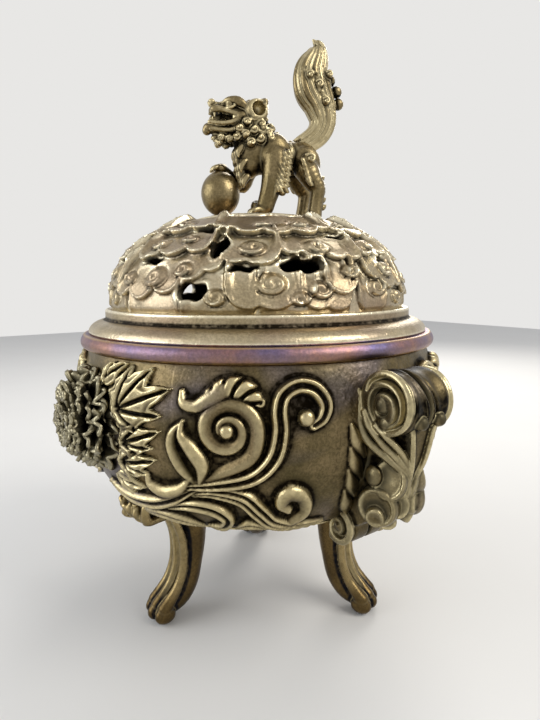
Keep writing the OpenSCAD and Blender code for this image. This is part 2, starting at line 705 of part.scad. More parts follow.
// A rounded limb through a row of [x, y, z, radius]
module limb(joints, facets = 9) {
    for (i = [0:len(joints) - 2]) hull() {
        ball_at(joints[i], facets);
        ball_at(joints[i + 1], facets);
    }
}
module ball_at(j, facets) { translate([j[0], j[1], j[2]]) sphere(r = j[3], $fn = facets); }

lion_ball_place = [14.8, -3, 8];
lion_ball_r = 8.2;

module lion_solid() {
    // Trunk and neck
    limb([[-16, 0, 24, 6.6], [-6, 0, 25, 5.4], [2, 0, 24, 8], [5, 0, 31, 7.2]], 11);
    // Near and far front legs, the far one with its paw on the ball
    limb([[-4.4, 4.6, 22.4, 5.4], [-4.6, 6.4, 15, 3.6], [-1.8, 6.9, 5.4, 2.8], [1.6, 7, 2, 3]]);
    limb([[2.4, -4.8, 20.4, 4.8], [4, -6.2, 12.6, 3], [10.6, -5.4, 16.6, 2.4], [13.6, -4.4, 18, 2.6]]);
    // Hind legs
    for (side = [-1, 1])
        limb([[-17.6, side * 4.8, 20, 6], [-22.2, side * 6.8, 10.2, 2.9], [-21.2, side * 7, 3, 2.4],
              [-18.4, side * 7, 1, 3]]);
    // Head, with the muzzle and jaw held open
    limb([[5, 0, 35, 7.4], [9.6, 0, 37, 6.6]], 11);
    for (side = [-1, 1]) {
        hull() { ball_at([12, side * 2, 39, 3.6], 8); ball_at([18.2, side * 1.6, 39.8, 2.4], 8); }
        hull() { ball_at([9, side * 2, 31.6, 3], 8); ball_at([16.2, side * 1.4, 29.6, 2], 8); }
        ball_at([12.4, side * 3.8, 42.2, 2.4], 8);
        hull() { ball_at([3, side * 5, 40.6, 2.4], 8); ball_at([1.2, side * 6.8, 44.4, 0.8], 8); }
    }
    ball_at([18.6, 0, 42.2, 2], 8);
    // Rows of curls over the neck and under the jaw
    for (row = [0:2], i = [-3:3])
        ball_at([2.6 - 2.6 * row + (abs(i) < 2 ? -1 : 1.6), i * 2.7, 39 - 4.2 * row - 1.3 * abs(i), 2.3], 7);
    for (i = [-1:1]) ball_at([13.4 - abs(i), i * 2.6, 27.4, 2], 7);
}

module lion_body() {
    color(brass)
    difference() {
        lion_frame() difference() {
            union() {
                lion_solid();
                translate([-1.5, 0, -crown_t]) cylinder(r1 = boss_r, r2 = 3.4, h = 19 + crown_t, $fn = 24);
            }
            translate(lion_ball_place) sphere(r = lion_ball_r + 0.1, $fn = 20);
            limb(tail_root, 10);
        }
        crown_fill(0.05);
        translate([0, 0, dome_top])
            cylinder(r = finial_bolt_d / 2 + screw_clear, h = crown_t + boss_h, $fn = 32);
    }
}

// Everything under the crown plate's upper side, for the feet to be cut to
module crown_fill(gap) {
    rotate_extrude($fn = 36)
        polygon(concat(dome_curve(dome_r + crown_t + gap, dome_h + crown_t + gap), [[0, dome_z]]));
}

// The plume: its root is let into the rump, then it rises and swells to a tip
tail_root = [[-17, 0, 28, 3.4], [-23, 0, 31.4, 4]];
module lion_tail() {
    plume = [[-23, 0, 31.4, 3.9], [-27.4, 0, 37.4, 4.4], [-27.6, 0, 44.4, 5.2], [-23, 0, 52, 7],
             [-22.6, 0, 57.4, 5.2], [-24, 0, 61, 2.6]];
    color(brass)
    lion_frame() {
        translate([0, 0, 0]) scale([1, 0.8, 1]) {
            limb([[-19, 0, 29, 3.1], [-23, 0, 31.4, 3.9]]);
            limb(plume, 10);
            hull() { ball_at(plume[5], 10); translate([-22.4, 0, 64.3]) sphere(r = 0.4, $fn = 8); }
        }
        for (p = [[-31.2, 53, 2], [-33, 48.6, 2], [-32.6, 44, 1.8]])
            translate([p[0], 0, p[1]]) sphere(r = p[2], $fn = 8);
    }
}

module lion_ball() {
    color(pale_brass)
    difference() {
        lion_frame() translate(lion_ball_place) sphere(r = lion_ball_r, $fn = 48);
        crown_fill(0);
    }
}

// ---------------------------------------------------------------- the parts
bowl();
mouth_ring();
at_angle(leg_angles[0]) leg();  // leg_front
at_angle(leg_angles[1]) leg();  // leg_right
at_angle(leg_angles[2]) leg();  // leg_left
leg_screws();
leg_washers();
handle(handle_angles[0]);  // handle_right
handle(handle_angles[1]);  // handle_left
handle_screws();
handle_washers();
peony(flower_angles[0]);  // peony_front
peony(flower_angles[1]);  // peony_back
peony_leaves(flower_angles[0]);  // peony_leaves_front
peony_leaves(flower_angles[1]);  // peony_leaves_back
peony_screws();
peony_washers();
scroll(45, 0);  // scroll_front_right
scroll(-45, 1);  // scroll_front_left
scroll(135, 1);  // scroll_back_right
scroll(-135, 0);  // scroll_back_left
lid_flange();
lid_dome();
crown_plate();
lion_body();
lion_tail();
lion_ball();
finial_bolt();
finial_washer();
finial_nut();
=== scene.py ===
# %% [markdown]
# # A cast brass incense burner with a lion on its lid
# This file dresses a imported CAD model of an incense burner: a round bowl on three
# paw feet, with two scroll handles, two peonies, scrollwork, and a lid of pierced
# clouds. The CAD solids are the frame. They have the right sizes and places, and
# the lid lifts on its own body. Everything here is built round them in metres.

# %% Load the frame
import math
import bpy
import numpy as np
from mathutils import Matrix, Vector


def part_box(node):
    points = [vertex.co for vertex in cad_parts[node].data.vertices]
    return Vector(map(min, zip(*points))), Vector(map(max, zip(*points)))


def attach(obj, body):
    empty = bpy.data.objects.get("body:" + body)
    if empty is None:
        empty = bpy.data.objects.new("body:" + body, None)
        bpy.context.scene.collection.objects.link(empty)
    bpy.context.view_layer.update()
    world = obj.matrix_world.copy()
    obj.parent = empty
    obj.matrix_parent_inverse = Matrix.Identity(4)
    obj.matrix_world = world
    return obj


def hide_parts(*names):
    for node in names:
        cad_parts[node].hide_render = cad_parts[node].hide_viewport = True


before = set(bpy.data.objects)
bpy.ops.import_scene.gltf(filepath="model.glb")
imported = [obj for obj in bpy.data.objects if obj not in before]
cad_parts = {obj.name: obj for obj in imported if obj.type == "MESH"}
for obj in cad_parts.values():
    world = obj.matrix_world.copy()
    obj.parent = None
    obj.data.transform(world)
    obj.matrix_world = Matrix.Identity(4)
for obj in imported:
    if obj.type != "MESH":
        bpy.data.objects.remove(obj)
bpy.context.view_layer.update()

# %% [markdown]
# ## Measures
# A founder keeps a few working sizes on the bench. They are read from the frame
# here, in millimetres, so that every sculpted piece lands on its CAD solid. An
# azimuth is measured round the bowl's axis, from the front peony towards the
# right handle, and it is in degrees, as a potter's wheel would be marked.

# %% Read the working sizes
MM = 0.001


def box_mm(node):
    low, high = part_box(node)
    return np.array(low) / MM, np.array(high) / MM


BOWL_LOW, BOWL_HIGH = box_mm("bowl")
RING_LOW, RING_HIGH = box_mm("mouth_ring")
FLANGE_HIGH = box_mm("lid_flange")[1]
CROWN_HIGH = box_mm("crown_plate")[1]
BALL_LOW, BALL_HIGH = box_mm("lion_ball")
BOWL_R = BOWL_HIGH[0]
BASE_Z = BOWL_LOW[2]
SHOULDER_Z = RING_LOW[2]
SEAT_Z = RING_HIGH[2]
DOME_Z = FLANGE_HIGH[2]
CROWN_Z = CROWN_HIGH[2]
print("bowl radius", BOWL_R, "underside", BASE_Z, "shoulder", SHOULDER_Z, "seat", SEAT_Z,
      "dome foot", DOME_Z, "crown", CROWN_Z)


def polar(azimuth, radius, z):
    """A point round the axis, in millimetres."""
    a = math.radians(azimuth)
    return np.array([radius * math.sin(a), -radius * math.cos(a), z])


def turn_points(points, degrees):
    """Points turned about the upright axis, anticlockwise from above."""
    a = math.radians(degrees)
    x, y = points[:, 0], points[:, 1]
    return np.stack([x * math.cos(a) - y * math.sin(a), x * math.sin(a) + y * math.cos(a), points[:, 2]], 1)


def grid_quads(n, m, round_n=False, round_m=False):
    """Quads over n rows of m points. A round grid joins its last row or column to the first."""
    i, j = np.meshgrid(np.arange(n - 1 + round_n), np.arange(m - 1 + round_m), indexing="ij")
    i, j = i.ravel(), j.ravel()
    i2, j2 = (i + 1) % n, (j + 1) % m
    return np.stack([i * m + j, i2 * m + j, i2 * m + j2, i * m + j2], 1)


# %% [markdown]
# ## The camera
# The camera comes first, because everything else is judged through it. It stands
# a little above the bowl's rim and only about a hand span from the bowl's axis, so the
# perspective is strong: the lid is seen from just above and the lion from below.

# %% Set the camera
CAMERA_AZIMUTH = 57.0
CAMERA_DISTANCE = 211.7
CAMERA_HEIGHT = 127.0
CAMERA_PITCH = -8.56
CAMERA_ROLL = -0.37
CAMERA_YAW = 1.26
LENS_MM = 26.6
SENSOR_MM = 36.0


def make_camera():
    data = bpy.data.cameras.new("camera")
    data.sensor_width = SENSOR_MM
    data.lens = LENS_MM
    data.clip_start = 0.01
    data.clip_end = 20.0
    camera = bpy.data.objects.new("camera", data)
    bpy.context.scene.collection.objects.link(camera)
    camera.location = Vector(polar(CAMERA_AZIMUTH, CAMERA_DISTANCE, CAMERA_HEIGHT)) * MM
    aim = (Matrix.Rotation(math.radians(CAMERA_AZIMUTH - CAMERA_YAW), 3, "Z")
           @ Matrix.Rotation(math.radians(90 + CAMERA_PITCH), 3, "X")
           @ Matrix.Rotation(math.radians(CAMERA_ROLL), 3, "Z"))
    camera.rotation_euler = aim.to_euler()
    bpy.context.scene.camera = camera
    return camera


camera = make_camera()
print("camera at", [round(c, 4) for c in camera.location])

# %% [markdown]
# ## Modelling wax
# The lion, the clouds and the paws are lost-wax castings: lumps of wax pressed
# together and smoothed with a thumb. A signed distance field works in the same way.
# Each lump is a formula for the distance to its skin, and a soft minimum presses two
# lumps together with a fillet. The block below keeps such a field on a grid, so
# that any number of lumps, cuts and grooves can be added before it is skinned.

# %% The wax block
FAR = 50.0


def soft_min(a, b, blend):
    if blend <= 0:
        return np.minimum(a, b)
    h = np.clip(0.5 + 0.5 * (b - a) / blend, 0.0, 1.0)
    return b + (a - b) * h - blend * h * (1.0 - h)


def soft_max(a, b, blend):
    return -soft_min(-a, -b, blend)


class Wax:
    """A block of modelling wax: distances in millimetres on a grid, negative inside."""

    def __init__(self, low, high, step):
        self.low = np.array(low, float)
        self.step = step
        self.size = np.ceil((np.array(high, float) - self.low) / step).astype(int) + 1
        self.field = np.full(self.size, FAR, np.float32)

    def region(self, low, high):
        first = np.clip(np.floor((np.array(low) - self.low) / self.step), 0, self.size).astype(int)
        last = np.clip(np.ceil((np.array(high) - self.low) / self.step) + 1, 0, self.size).astype(int)
        spans = tuple(slice(a, b) for a, b in zip(first, last))
        axes = [(self.low[i] + self.step * np.arange(first[i], last[i])).astype(np.float32)
                for i in range(3)]
        return spans, (axes[0][:, None, None], axes[1][None, :, None], axes[2][None, None, :])

    def merge(self, shapes, blend):
        """The hard union of one or more shapes, and the grid block that it changes."""
        shapes = shapes if isinstance(shapes, list) else [shapes]
        pad = blend + max(self.step, 1.5)
        low = np.min([s[1] for s in shapes], axis=0) - pad
        high = np.max([s[2] for s in shapes], axis=0) + pad
        block, _ = self.region(low, high)
        union = np.full([max(s.stop - s.start, 0) for s in block], FAR, np.float32)
        for distance, shape_low, shape_high in shapes:
            spans, xyz = self.region(np.array(shape_low) - pad, np.array(shape_high) + pad)
            part = tuple(slice(s.start - o.start, s.stop - o.start) for s, o in zip(spans, block))
            if union[part].size:
                union[part] = np.minimum(union[part], distance(*xyz))
        return block, union

    def add(self, shapes, blend=0.0):
        """Presses on a shape, or a list of them as one lump, with a fillet as wide as blend."""
        block, union = self.merge(shapes, blend)
        self.field[block] = soft_min(self.field[block], union, blend)

    def cut(self, shapes, blend=0.0):
        block, union = self.merge(shapes, blend)
        self.field[block] = soft_max(self.field[block], -union, blend)

    def places(self):
        """The x, y and z of the whole grid."""
        return self.region(self.low, self.low + self.step * self.size)[1]

    def keep(self, distance):
        """Cuts away all that lies outside a shape, given as a distance formula."""
        self.field = np.maximum(self.field, distance(*self.places())).astype(np.float32)

    def sample(self, points):
        """Distances at points, by blending the eight grid values round each."""
        g = (points - self.low) / self.step
        g = np.clip(g, 0, self.size - 1.001)
        i = g.astype(int)
        f = (g - i).astype(np.float32)
        total = np.zeros(len(points), np.float32)
        for corner in range(8):
            d = np.array([corner >> 2 & 1, corner >> 1 & 1, corner & 1])
            weight = np.prod(np.where(d, f, 1 - f), axis=1)
            total += weight * self.field[tuple((i + d).T)]
        return total


# %% [markdown]
# ## Lumps and tools
# A ball, a rolled coil of wax that tapers and an egg with three radii cover nearly
# all of the modelling. Each function gives the distance formula with the corners
# of the space it needs, so that a small lump only touches a small part of the grid.

# %% Lumps of wax
def ball(centre, radius):
    c = np.array(centre, float)

    def distance(x, y, z):
        return np.sqrt((x - c[0]) ** 2 + (y - c[1]) ** 2 + (z - c[2]) ** 2) - radius
    return distance, c - radius, c + radius


def egg(centre, radii):
    """A ball with a radius of its own along each axis."""
    c, r = np.array(centre, float), np.array(radii, float)

    def distance(x, y, z):
        p = [(x - c[0]) / r[0], (y - c[1]) / r[1], (z - c[2]) / r[2]]
        k = np.sqrt(p[0] ** 2 + p[1] ** 2 + p[2] ** 2)
        g = np.sqrt((p[0] / r[0]) ** 2 + (p[1] / r[1]) ** 2 + (p[2] / r[2]) ** 2)
        return k * (k - 1.0) / np.maximum(g, 1e-4)
    return distance, c - r.max(), c + r.max()


def coil(start, end, r_start, r_end=None, flat=None):
    """A rolled coil that may taper. flat = (direction, share) presses it thinner one way."""
    a, b = np.array(start, float), np.array(end, float)
    r_end = r_start if r_end is None else r_end
    ab = b - a
    length = max(float(ab @ ab), 1e-6)
    big = max(r_start, r_end)

    def distance(x, y, z):
        px, py, pz = x - a[0], y - a[1], z - a[2]
        t = np.clip((px * ab[0] + py * ab[1] + pz * ab[2]) / length, 0.0, 1.0)
        dx, dy, dz = px - t * ab[0], py - t * ab[1], pz - t * ab[2]
        if flat is not None:
            n, share = flat
            along = dx * n[0] + dy * n[1] + dz * n[2]
            grow = 1.0 / share - 1.0
            dx, dy, dz = dx + grow * along * n[0], dy + grow * along * n[1], dz + grow * along * n[2]
        return np.sqrt(dx * dx + dy * dy + dz * dz) - (r_start + t * (r_end - r_start))
    return distance, np.minimum(a, b) - big, np.maximum(a, b) + big


def smooth_path(points, count):
    """Points along a smooth curve through the given ones, extra columns (radii) included."""
    p = np.array(points, float)
    p = np.vstack([2 * p[0] - p[1], p, 2 * p[-1] - p[-2]])
    out = []
    spans = len(p) - 3
    for k in range(count + 1):
        s = min(k / count * spans, spans - 1e-6)
        i, t = int(s), s - int(s)
        a, b, c, d = p[i:i + 4]
        out.append(0.5 * (2 * b + (c - a) * t + (2 * a - 5 * b + 4 * c - d) * t ** 2
                          + (3 * b - a - 3 * c + d) * t ** 3))
    return np.array(out)


def coils(path, flat=None):
    """One long coil through the points [x, y, z, radius] of a path, as a list of short ones."""
    return [coil(a[:3], b[:3], a[3], b[3], flat) for a, b in zip(path[:-1], path[1:])]


def press_coil(wax, points, count=12, blend=0.0, flat=None, cut=False):
    """Lays one coil along a smooth path of [x, y, z, radius], or cuts it out as a groove."""
    (wax.cut if cut else wax.add)(coils(smooth_path(points, count), flat), blend)


# %% [markdown]
# ## From wax to metal
# Skinning finds where the distance is zero and lays one point in each grid cube
# that the surface passes, then joins them in quads. The same field also tells how
# deep a place sits: just outside a hollow the distance grows slowly, and just under
# a sharp ridge it does too. Both are kept as vertex values, and the finishes use
# them later for recesses darkened with patina and painted shade, and for edges
# brightened with wear and a painted highlight.

# %% Skin the wax
def skin(wax):
    """Points and quads of the wax's surface."""
    f = wax.field
    n = np.array(f.shape) - 1
    flat = (n[1] * n[2], n[2], 1)
    count = np.zeros(int(np.prod(n)), np.float32)
    sums = [np.zeros(len(count), np.float32) for _ in range(3)]
    edges = []
    for axis in range(3):
        a = f[tuple(slice(0, -1) if i == axis else slice(None) for i in range(3))]
        b = f[tuple(slice(1, None) if i == axis else slice(None) for i in range(3))]
        at = np.argwhere((a < 0) != (b < 0))
        va, vb = a[tuple(at.T)], b[tuple(at.T)]
        place = at.astype(np.float32)
        place[:, axis] += va / (va - vb)
        others = [i for i in range(3) if i != axis]
        cells = []
        inside = np.ones(len(at), bool)
        for du, dv in ((0, 0), (1, 0), (1, 1), (0, 1)):
            cell = at.copy()
            cell[:, others[0]] -= du
            cell[:, others[1]] -= dv
            good = ((cell >= 0) & (cell < n)).all(1)
            inside &= good
            cells.append((cell, good))
        for cell, good in cells:
            ids = cell[good] @ np.array(flat)
            count += np.bincount(ids, minlength=len(count)).astype(np.float32)
            for i in range(3):
                sums[i] += np.bincount(ids, place[good, i], len(count)).astype(np.float32)
        quad = np.stack([cell[inside] @ np.array(flat) for cell, _ in cells], 1)
        flip = (va[inside] < 0) == (axis != 1)
        quad[~flip] = quad[~flip][:, ::-1]
        edges.append(quad)
    used = np.flatnonzero(count)
    points = np.stack([s[used] / count[used] for s in sums], 1) * wax.step + wax.low
    index = np.full(len(count), -1, int)
    index[used] = np.arange(len(used))
    return points, index[np.vstack(edges)]


def make_mesh(name, points_mm, faces, recess, ridge):
    """A Blender object from points in millimetres, with a recess and a ridge value at each."""
    points = np.asarray(points_mm, np.float64) * MM
    faces = np.asarray(faces)
    mesh = bpy.data.meshes.new(name)
    mesh.vertices.add(len(points))
    mesh.vertices.foreach_set("co", points.astype(np.float32).ravel())
    sides = faces.shape[1]
    mesh.loops.add(faces.size)
    mesh.loops.foreach_set("vertex_index", faces.astype(np.int32).ravel())
    mesh.polygons.add(len(faces))
    mesh.polygons.foreach_set("loop_start", np.arange(len(faces), dtype=np.int32) * sides)
    mesh.polygons.foreach_set("loop_total", np.full(len(faces), sides, np.int32))
    mesh.polygons.foreach_set("use_smooth", np.full(len(faces), True))
    for key, value in (("recess", recess), ("ridge", ridge)):
        layer = mesh.attributes.new(key, "FLOAT", "POINT")
        layer.data.foreach_set("value", np.asarray(value, np.float32))
    mesh.update(calc_edges=True)
    mesh.validate()
    obj = bpy.data.objects.new(name, mesh)
    bpy.context.scene.collection.objects.link(obj)
    return obj


def point_normals(points, faces):
    """Outward normals, one a point, from the diagonals of the quads round it."""
    p = points[faces]
    normal = np.cross(p[:, 2] - p[:, 0], p[:, 3] - p[:, 1])
    total = np.stack([sum(np.bincount(faces[:, k], normal[:, i], len(points)) for k in range(4))
                      for i in range(3)], 1)
    return total / np.maximum(np.linalg.norm(total, axis=1, keepdims=True), 1e-9)


def depth_values(wax, points, normals, near, far):
    """How enclosed (recess) and how sharp (ridge) the surface is at each point, from 0 to 1."""
    recess = np.zeros(len(points), np.float32)
    ridge = np.zeros(len(points), np.float32)
    for reach in (near, far):
        out = wax.sample(points + normals * reach) / reach
        recess += 0.5 * np.clip(1.0 - out, 0.0, 1.0)
        into = -wax.sample(points - normals * reach) / reach
        ridge += 0.5 * np.clip(1.0 - into, 0.0, 1.0)
    return recess, ridge


def cast(wax, name, place, near, far):
    """Skins the wax, measures its recesses and ridges, and sets it in its place."""
    points, faces = skin(wax)
    normals = point_normals(points, faces)
    recess, ridge = depth_values(wax, points, normals, near, far)
    placed = points if place is None else place(points)
    obj = make_mesh(name, placed, faces, recess, ridge)
    print(name, "cast with", len(points), "points and", len(faces), "quads")
    return obj

# %% [markdown]
# ## The lion
# The finial is a shishi, the guardian lion, with a paw on a brocade ball. It is
# built in its own frame: u forwards, v to its left and w up from the crown plate.
# Bones come first as tapered coils, then muscle as eggs pressed on with a wide
# blend, and last the mane, beard and fur as small curls with a tight blend.

# %% Shape the lion
LION_TURN = -18.0
FINE_STEP = 0.3


def lion_place(points):
    """From the lion's own frame to the object's, in millimetres."""
    return turn_points(points, LION_TURN - 90) + np.array([0, 0, CROWN_Z])


def curl(wax, centre, outward, size, turn=1):
    """A snail of hair: a bead with a coil that winds in on its outer face."""
    n = np.array(outward, float)
    n /= np.linalg.norm(n)
    side = np.cross(n, [0, 0, 1.0])
    side /= max(np.linalg.norm(side), 1e-6)
    up = np.cross(side, n)
    c = np.array(centre, float)
    wax.add(ball(c - n * size * 0.3, size * 0.95), size * 0.25)
    path = []
    for k in range(9):
        a = turn * (0.6 + k * 0.8)
        r = size * (0.80 - 0.085 * k)
        p = c + side * r * math.cos(a) + up * r * math.sin(a) + n * (0.30 + 0.05 * k) * size
        path.append([*p, size * 0.22])
    press_coil(wax, path, 16, 0.12)


def lion_trunk(wax):
    wax.add(egg((-4, 0, 21.8), (9.5, 5.6, 6.6)))
    wax.add(egg((-11, 0, 21.6), (9.0, 5.0, 6.2)), 2.0)
    wax.add(egg((-17.5, 0, 22.6), (6.6, 5.6, 5.6)), 2.0)
    wax.add(egg((3.4, 0, 21), (5.6, 5.0, 7.6)), 2.0)
    press_coil(wax, [[1, 0, 25, 6.6], [3.6, 0, 30, 6.2], [5.6, 0, 34, 6.0]], 6, 1.5)
    # The spine shows as a row of knuckles in front of the tail
    for k in range(5):
        wax.add(egg((-9.8 - 1.9 * k, 0, 28.0 - 0.1 * k), (0.85, 0.8, 0.8)), 0.3)
    # Ribs, three a side
    for side in (-1, 1):
        for k in range(3):
            u = -10.4 - 2.3 * k
            press_coil(wax, [[u + 0.4, side * 3.4, 26.6, 0.3], [u, side * 5.0, 23.6, 0.55],
                             [u + 0.8, side * 4.4, 19.6, 0.3]], 6, 0.5)


def lion_paw(wax, u, v, w, size):
    """Four rounded toes with a claw each, under a low wrist."""
    wax.add(egg((u, v, w + 0.6 * size), (1.15 * size, 1.1 * size, 0.8 * size)), 0.6)
    for k in range(4):
        side = (k - 1.5) * 0.62 * size
        tip = u + (1.55 - 0.14 * abs(k - 1.5)) * size
        press_coil(wax, [[u + 0.3 * size, v + side * 0.8, w + 0.85 * size, 0.36 * size],
                         [tip - 0.35 * size, v + side, w + 0.6 * size, 0.42 * size],
                         [tip, v + side * 1.04, w + 0.32 * size, 0.26 * size]], 5, 0.1)
        wax.add(coil((tip, v + side * 1.04, w + 0.34 * size), (tip + 0.4 * size, v + side * 1.1, w + 0.05),
                     0.17 * size, 0.05 * size), 0.08)


def fur(wax, start, end, count, length, lean, size):
    """A row of pointed locks along a line; lean is the way that the tips point."""
    start, end, lean = np.array(start, float), np.array(end, float), np.array(lean, float)
    for k in range(count):
        base = start + (end - start) * k / max(count - 1, 1)
        tip = base + lean * length * 0.8
        mid = (base + tip) / 2 + np.array([0, 0, -0.14]) * length
        press_coil(wax, [[*base, size * 1.15], [*mid, size], [*tip, size * 0.35]], 5, 0.25)


def lion_legs(wax):
    for side in (-1, 1):
        # Hind leg: haunch, thigh, hock and shank
        wax.add(egg((-18.6, side * 4.9, 19.4), (5.4, 3.4, 6.4)), 1.2)
        press_coil(wax, [[-18.0, side * 5.6, 17.0, 4.8], [-20.0, side * 6.4, 13.2, 3.9],
                         [-22.2, side * 6.8, 10.0, 3.1], [-21.8, side * 6.9, 6.0, 2.7],
                         [-21.2, side * 6.9, 2.0, 2.8], [-21.0, side * 6.9, 0.2, 2.9]], 12, 0.8)
        lion_paw(wax, -20.0, side * 7.0, -2.2, 2.5)
        fur(wax, (-22.6, side * 7.0, 13.4), (-23.4, side * 7.0, 3.0), 5, 3.0, (-0.9, 0, 0.35), 1.15)
        curl(wax, (-18.0, side * 9.4, 20.0), (-0.1, side, 0.05), 2.6, side)
        fur(wax, (-15.2, side * 9.3, 19.6), (-17.4, side * 9.6, 12.6), 5, 3.6,
            (-0.6, side * 0.06, -0.75), 0.8)
    # Near front leg: a big shoulder, then a straight leg that leans forward to the paw
    wax.add(egg((-6.0, 4.6, 22.2), (6.0, 4.0, 7.4)), 1.2)
    press_coil(wax, [[-6.0, 5.6, 20, 5.0], [-5.2, 6.2, 15.4, 4.6], [-3.9, 6.6, 10.2, 3.9],
                     [-2.4, 6.8, 5.6, 3.4], [-1.4, 6.8, 2.6, 3.3]], 12, 0.8)
    lion_paw(wax, 0.8, 7.0, -0.8, 2.7)
    # Locks of fur run off the back of the shoulder in three layers
    fur(wax, (-9.8, 9.0, 22.0), (-8.0, 9.2, 9.6), 7, 3.4, (-0.75, -0.12, -0.65), 0.9)
    fur(wax, (-8.0, 10.0, 21.4), (-6.0, 10.2, 9.0), 7, 3.2, (-0.7, -0.05, -0.7), 0.75)
    fur(wax, (-5.8, 10.4, 17.4), (-4.4, 10.2, 9.4), 5, 2.8, (-0.6, 0.0, -0.8), 0.55)
    fur(wax, (-10.4, 6.0, 18.0), (-7.2, 6.8, 8.4), 5, 2.6, (-0.95, 0.1, -0.3), 1.1)
    for k in range(4):
        u = -5.2 + 1.1 * k
        press_coil(wax, [[u, 10.2 - 0.25 * k, 13.0, 0.3], [u + 0.6, 10.2 - 0.3 * k, 9.0, 0.5],
                         [u + 1.6, 9.8 - 0.3 * k, 5.0, 0.25]], 6, 0.3)
    # Far front leg, with its paw raised onto the ball
    wax.add(egg((2.4, -4.8, 20), (4.6, 3.4, 6.4)), 1.2)
    press_coil(wax, [[2.8, -5.6, 17, 3.9], [4.0, -6.2, 12.4, 3.0], [7.0, -6.2, 13.2, 2.6],
                     [10.4, -5.4, 16.0, 2.2], [12.4, -4.8, 17.4, 2.1]], 12, 0.7)
    lion_paw(wax, 13.2, -4.2, 16.2, 2.3)
    # A short stub between the feet takes the end of the bolt
    wax.add(coil((0, 0, -1), (0, 0, 3.4), 2.6, 2.4), 0.5)
    fur(wax, (4.6, -6.6, 11.6), (2.0, -6.8, 14.6), 3, 3.2, (-0.7, 0, -0.6), 1.1)


def lion_head(wax):
    wax.add(egg((6.6, 0, 36.6), (6.0, 5.6, 5.8)), 1.2)
    # Upper jaw, square muzzle and broad nose
    press_coil(wax, [[8.5, 0, 37.9, 4.9], [13.6, 0, 38.6, 3.8], [16.6, 0, 39.0, 3.2]], 6, 0.9,
               flat=((0, 0, 1), 0.62))
    wax.add(coil((11.5, 0, 40.4), (17.8, 0, 41.2), 1.3, 1.1), 0.5)
    for side in (-1, 1):
        wax.add(egg((17.2, side * 2.0, 38.9), (2.3, 1.6, 1.5)), 0.3)
        wax.add(egg((18.8, side * 1.15, 41.6), (1.4, 1.05, 1.15)), 0.25)
        wax.cut(coil((19.6, side * 1.3, 41.4), (21, side * 1.5, 41.4), 0.5), 0.15)
    for k in range(3):
        wax.add(coil((15.6 - 1.2 * k, -1.9, 41.5), (15.6 - 1.2 * k, 1.9, 41.5), 0.36), 0.2)
    # Lower jaw, with a knobbed chin
    press_coil(wax, [[7.0, 0, 33.0, 4.4], [13.0, 0, 32.4, 3.5], [19.4, 0, 32.8, 2.6]], 6, 0.9,
               flat=((0, 0, 1), 0.72))
    wax.add(ball((20.6, 0, 31.8), 1.7), 0.4)
    # The open mouth with its tongue and teeth
    wax.cut(egg((15.6, 0, 36.4), (7.0, 5.0, 1.7)), 0.3)
    wax.cut(coil((13, 0, 36.4), (23, 0, 36.8), 1.5, 1.7), 0.3)
    press_coil(wax, [[10.0, 0, 36.0, 2.2], [14.0, 0, 36.2, 2.0], [18.4, 0, 35.9, 1.3]], 5, 0.2,
               flat=((0, 1, 0), 0.7))
    for side in (-1, 1):
        for k in range(5):
            u = 18.0 - 1.5 * k
            v = side * (2.0 + 0.36 * k)
            long = 2.1 if k == 0 else 0.9
            wax.add(coil((u, v, 38.2), (u, v, 38.2 - long), 0.6, 0.2), 0.08)
            wax.add(coil((u + 0.8, v, 34.6), (u + 0.8, v, 34.6 + 0.85 * long), 0.55, 0.2), 0.08)
        # Rolled lips that meet in a curled corner
        press_coil(wax, [[19.2, side * 1.6, 38.2, 0.5], [16.6, side * 3.0, 38.7, 0.75],
                         [13.4, side * 3.6, 38.2, 0.75], [10.8, side * 4.6, 37.4, 0.9],
                         [9.0, side * 5.2, 36.4, 1.0], [10.6, side * 4.9, 34.8, 0.9],
                         [14.6, side * 3.7, 34.0, 0.75], [20.0, side * 2.2, 34.4, 0.7]], 20, 0.18)
        press_coil(wax, [[8.4, side * 4.9, 33.0, 0.8], [13.0, side * 3.8, 31.6, 0.7],
                         [19.6, side * 2.1, 32.0, 0.65]], 8, 0.18)
        # Deep-set eye between two lids, under a brow that swells and sweeps back
        wax.cut(ball((13.4, side * 3.7, 40.4), 1.6), 0.3)
        wax.add(ball((12.7, side * 3.3, 40.3), 1.35), 0.05)
        wax.cut(ball((14.0, side * 3.9, 40.5), 0.42), 0.1)
        press_coil(wax, [[14.8, side * 2.4, 39.4, 0.4], [13.2, side * 4.4, 39.0, 0.5],
                         [11.2, side * 5.0, 39.8, 0.45]], 8, 0.15)
        press_coil(wax, [[14.6, side * 1.6, 41.4, 0.8], [12.8, side * 3.4, 42.0, 1.25],
                         [9.6, side * 4.9, 41.4, 1.7], [7.0, side * 5.4, 39.4, 1.3],
                         [6.2, side * 5.6, 37.6, 0.7]], 12, 0.25)
        # Large cupped ear, hollow on its outer side, with its tip at the back
        wax.add(egg((3.0, side * 6.0, 38.4), (4.2, 2.3, 4.2)), 0.4)
        wax.add(coil((1.6, side * 6.2, 39.4), (0.2, side * 6.4, 41.4), 2.8, 1.4), 0.8)
        wax.cut(egg((2.7, side * 8.2, 38.9), (2.5, 3.7, 2.6)), 0.15)
        wax.cut(coil((1.6, side * 8.0, 40.0), (0.4, side * 8.2, 41.4), 1.3, 0.6), 0.15)
        wax.add(egg((8.2, side * 5.0, 36.2), (2.1, 1.5, 2.1)), 0.5)
    wax.add(egg((9.5, 0, 42.0), (3.2, 2.0, 1.2)), 0.5)
    for k in range(3):
        wax.add(coil((9.8 + 1.2 * k, -1.0, 42.9 - 0.3 * k), (9.8 + 1.2 * k, 1.0, 42.9 - 0.3 * k), 0.35), 0.2)


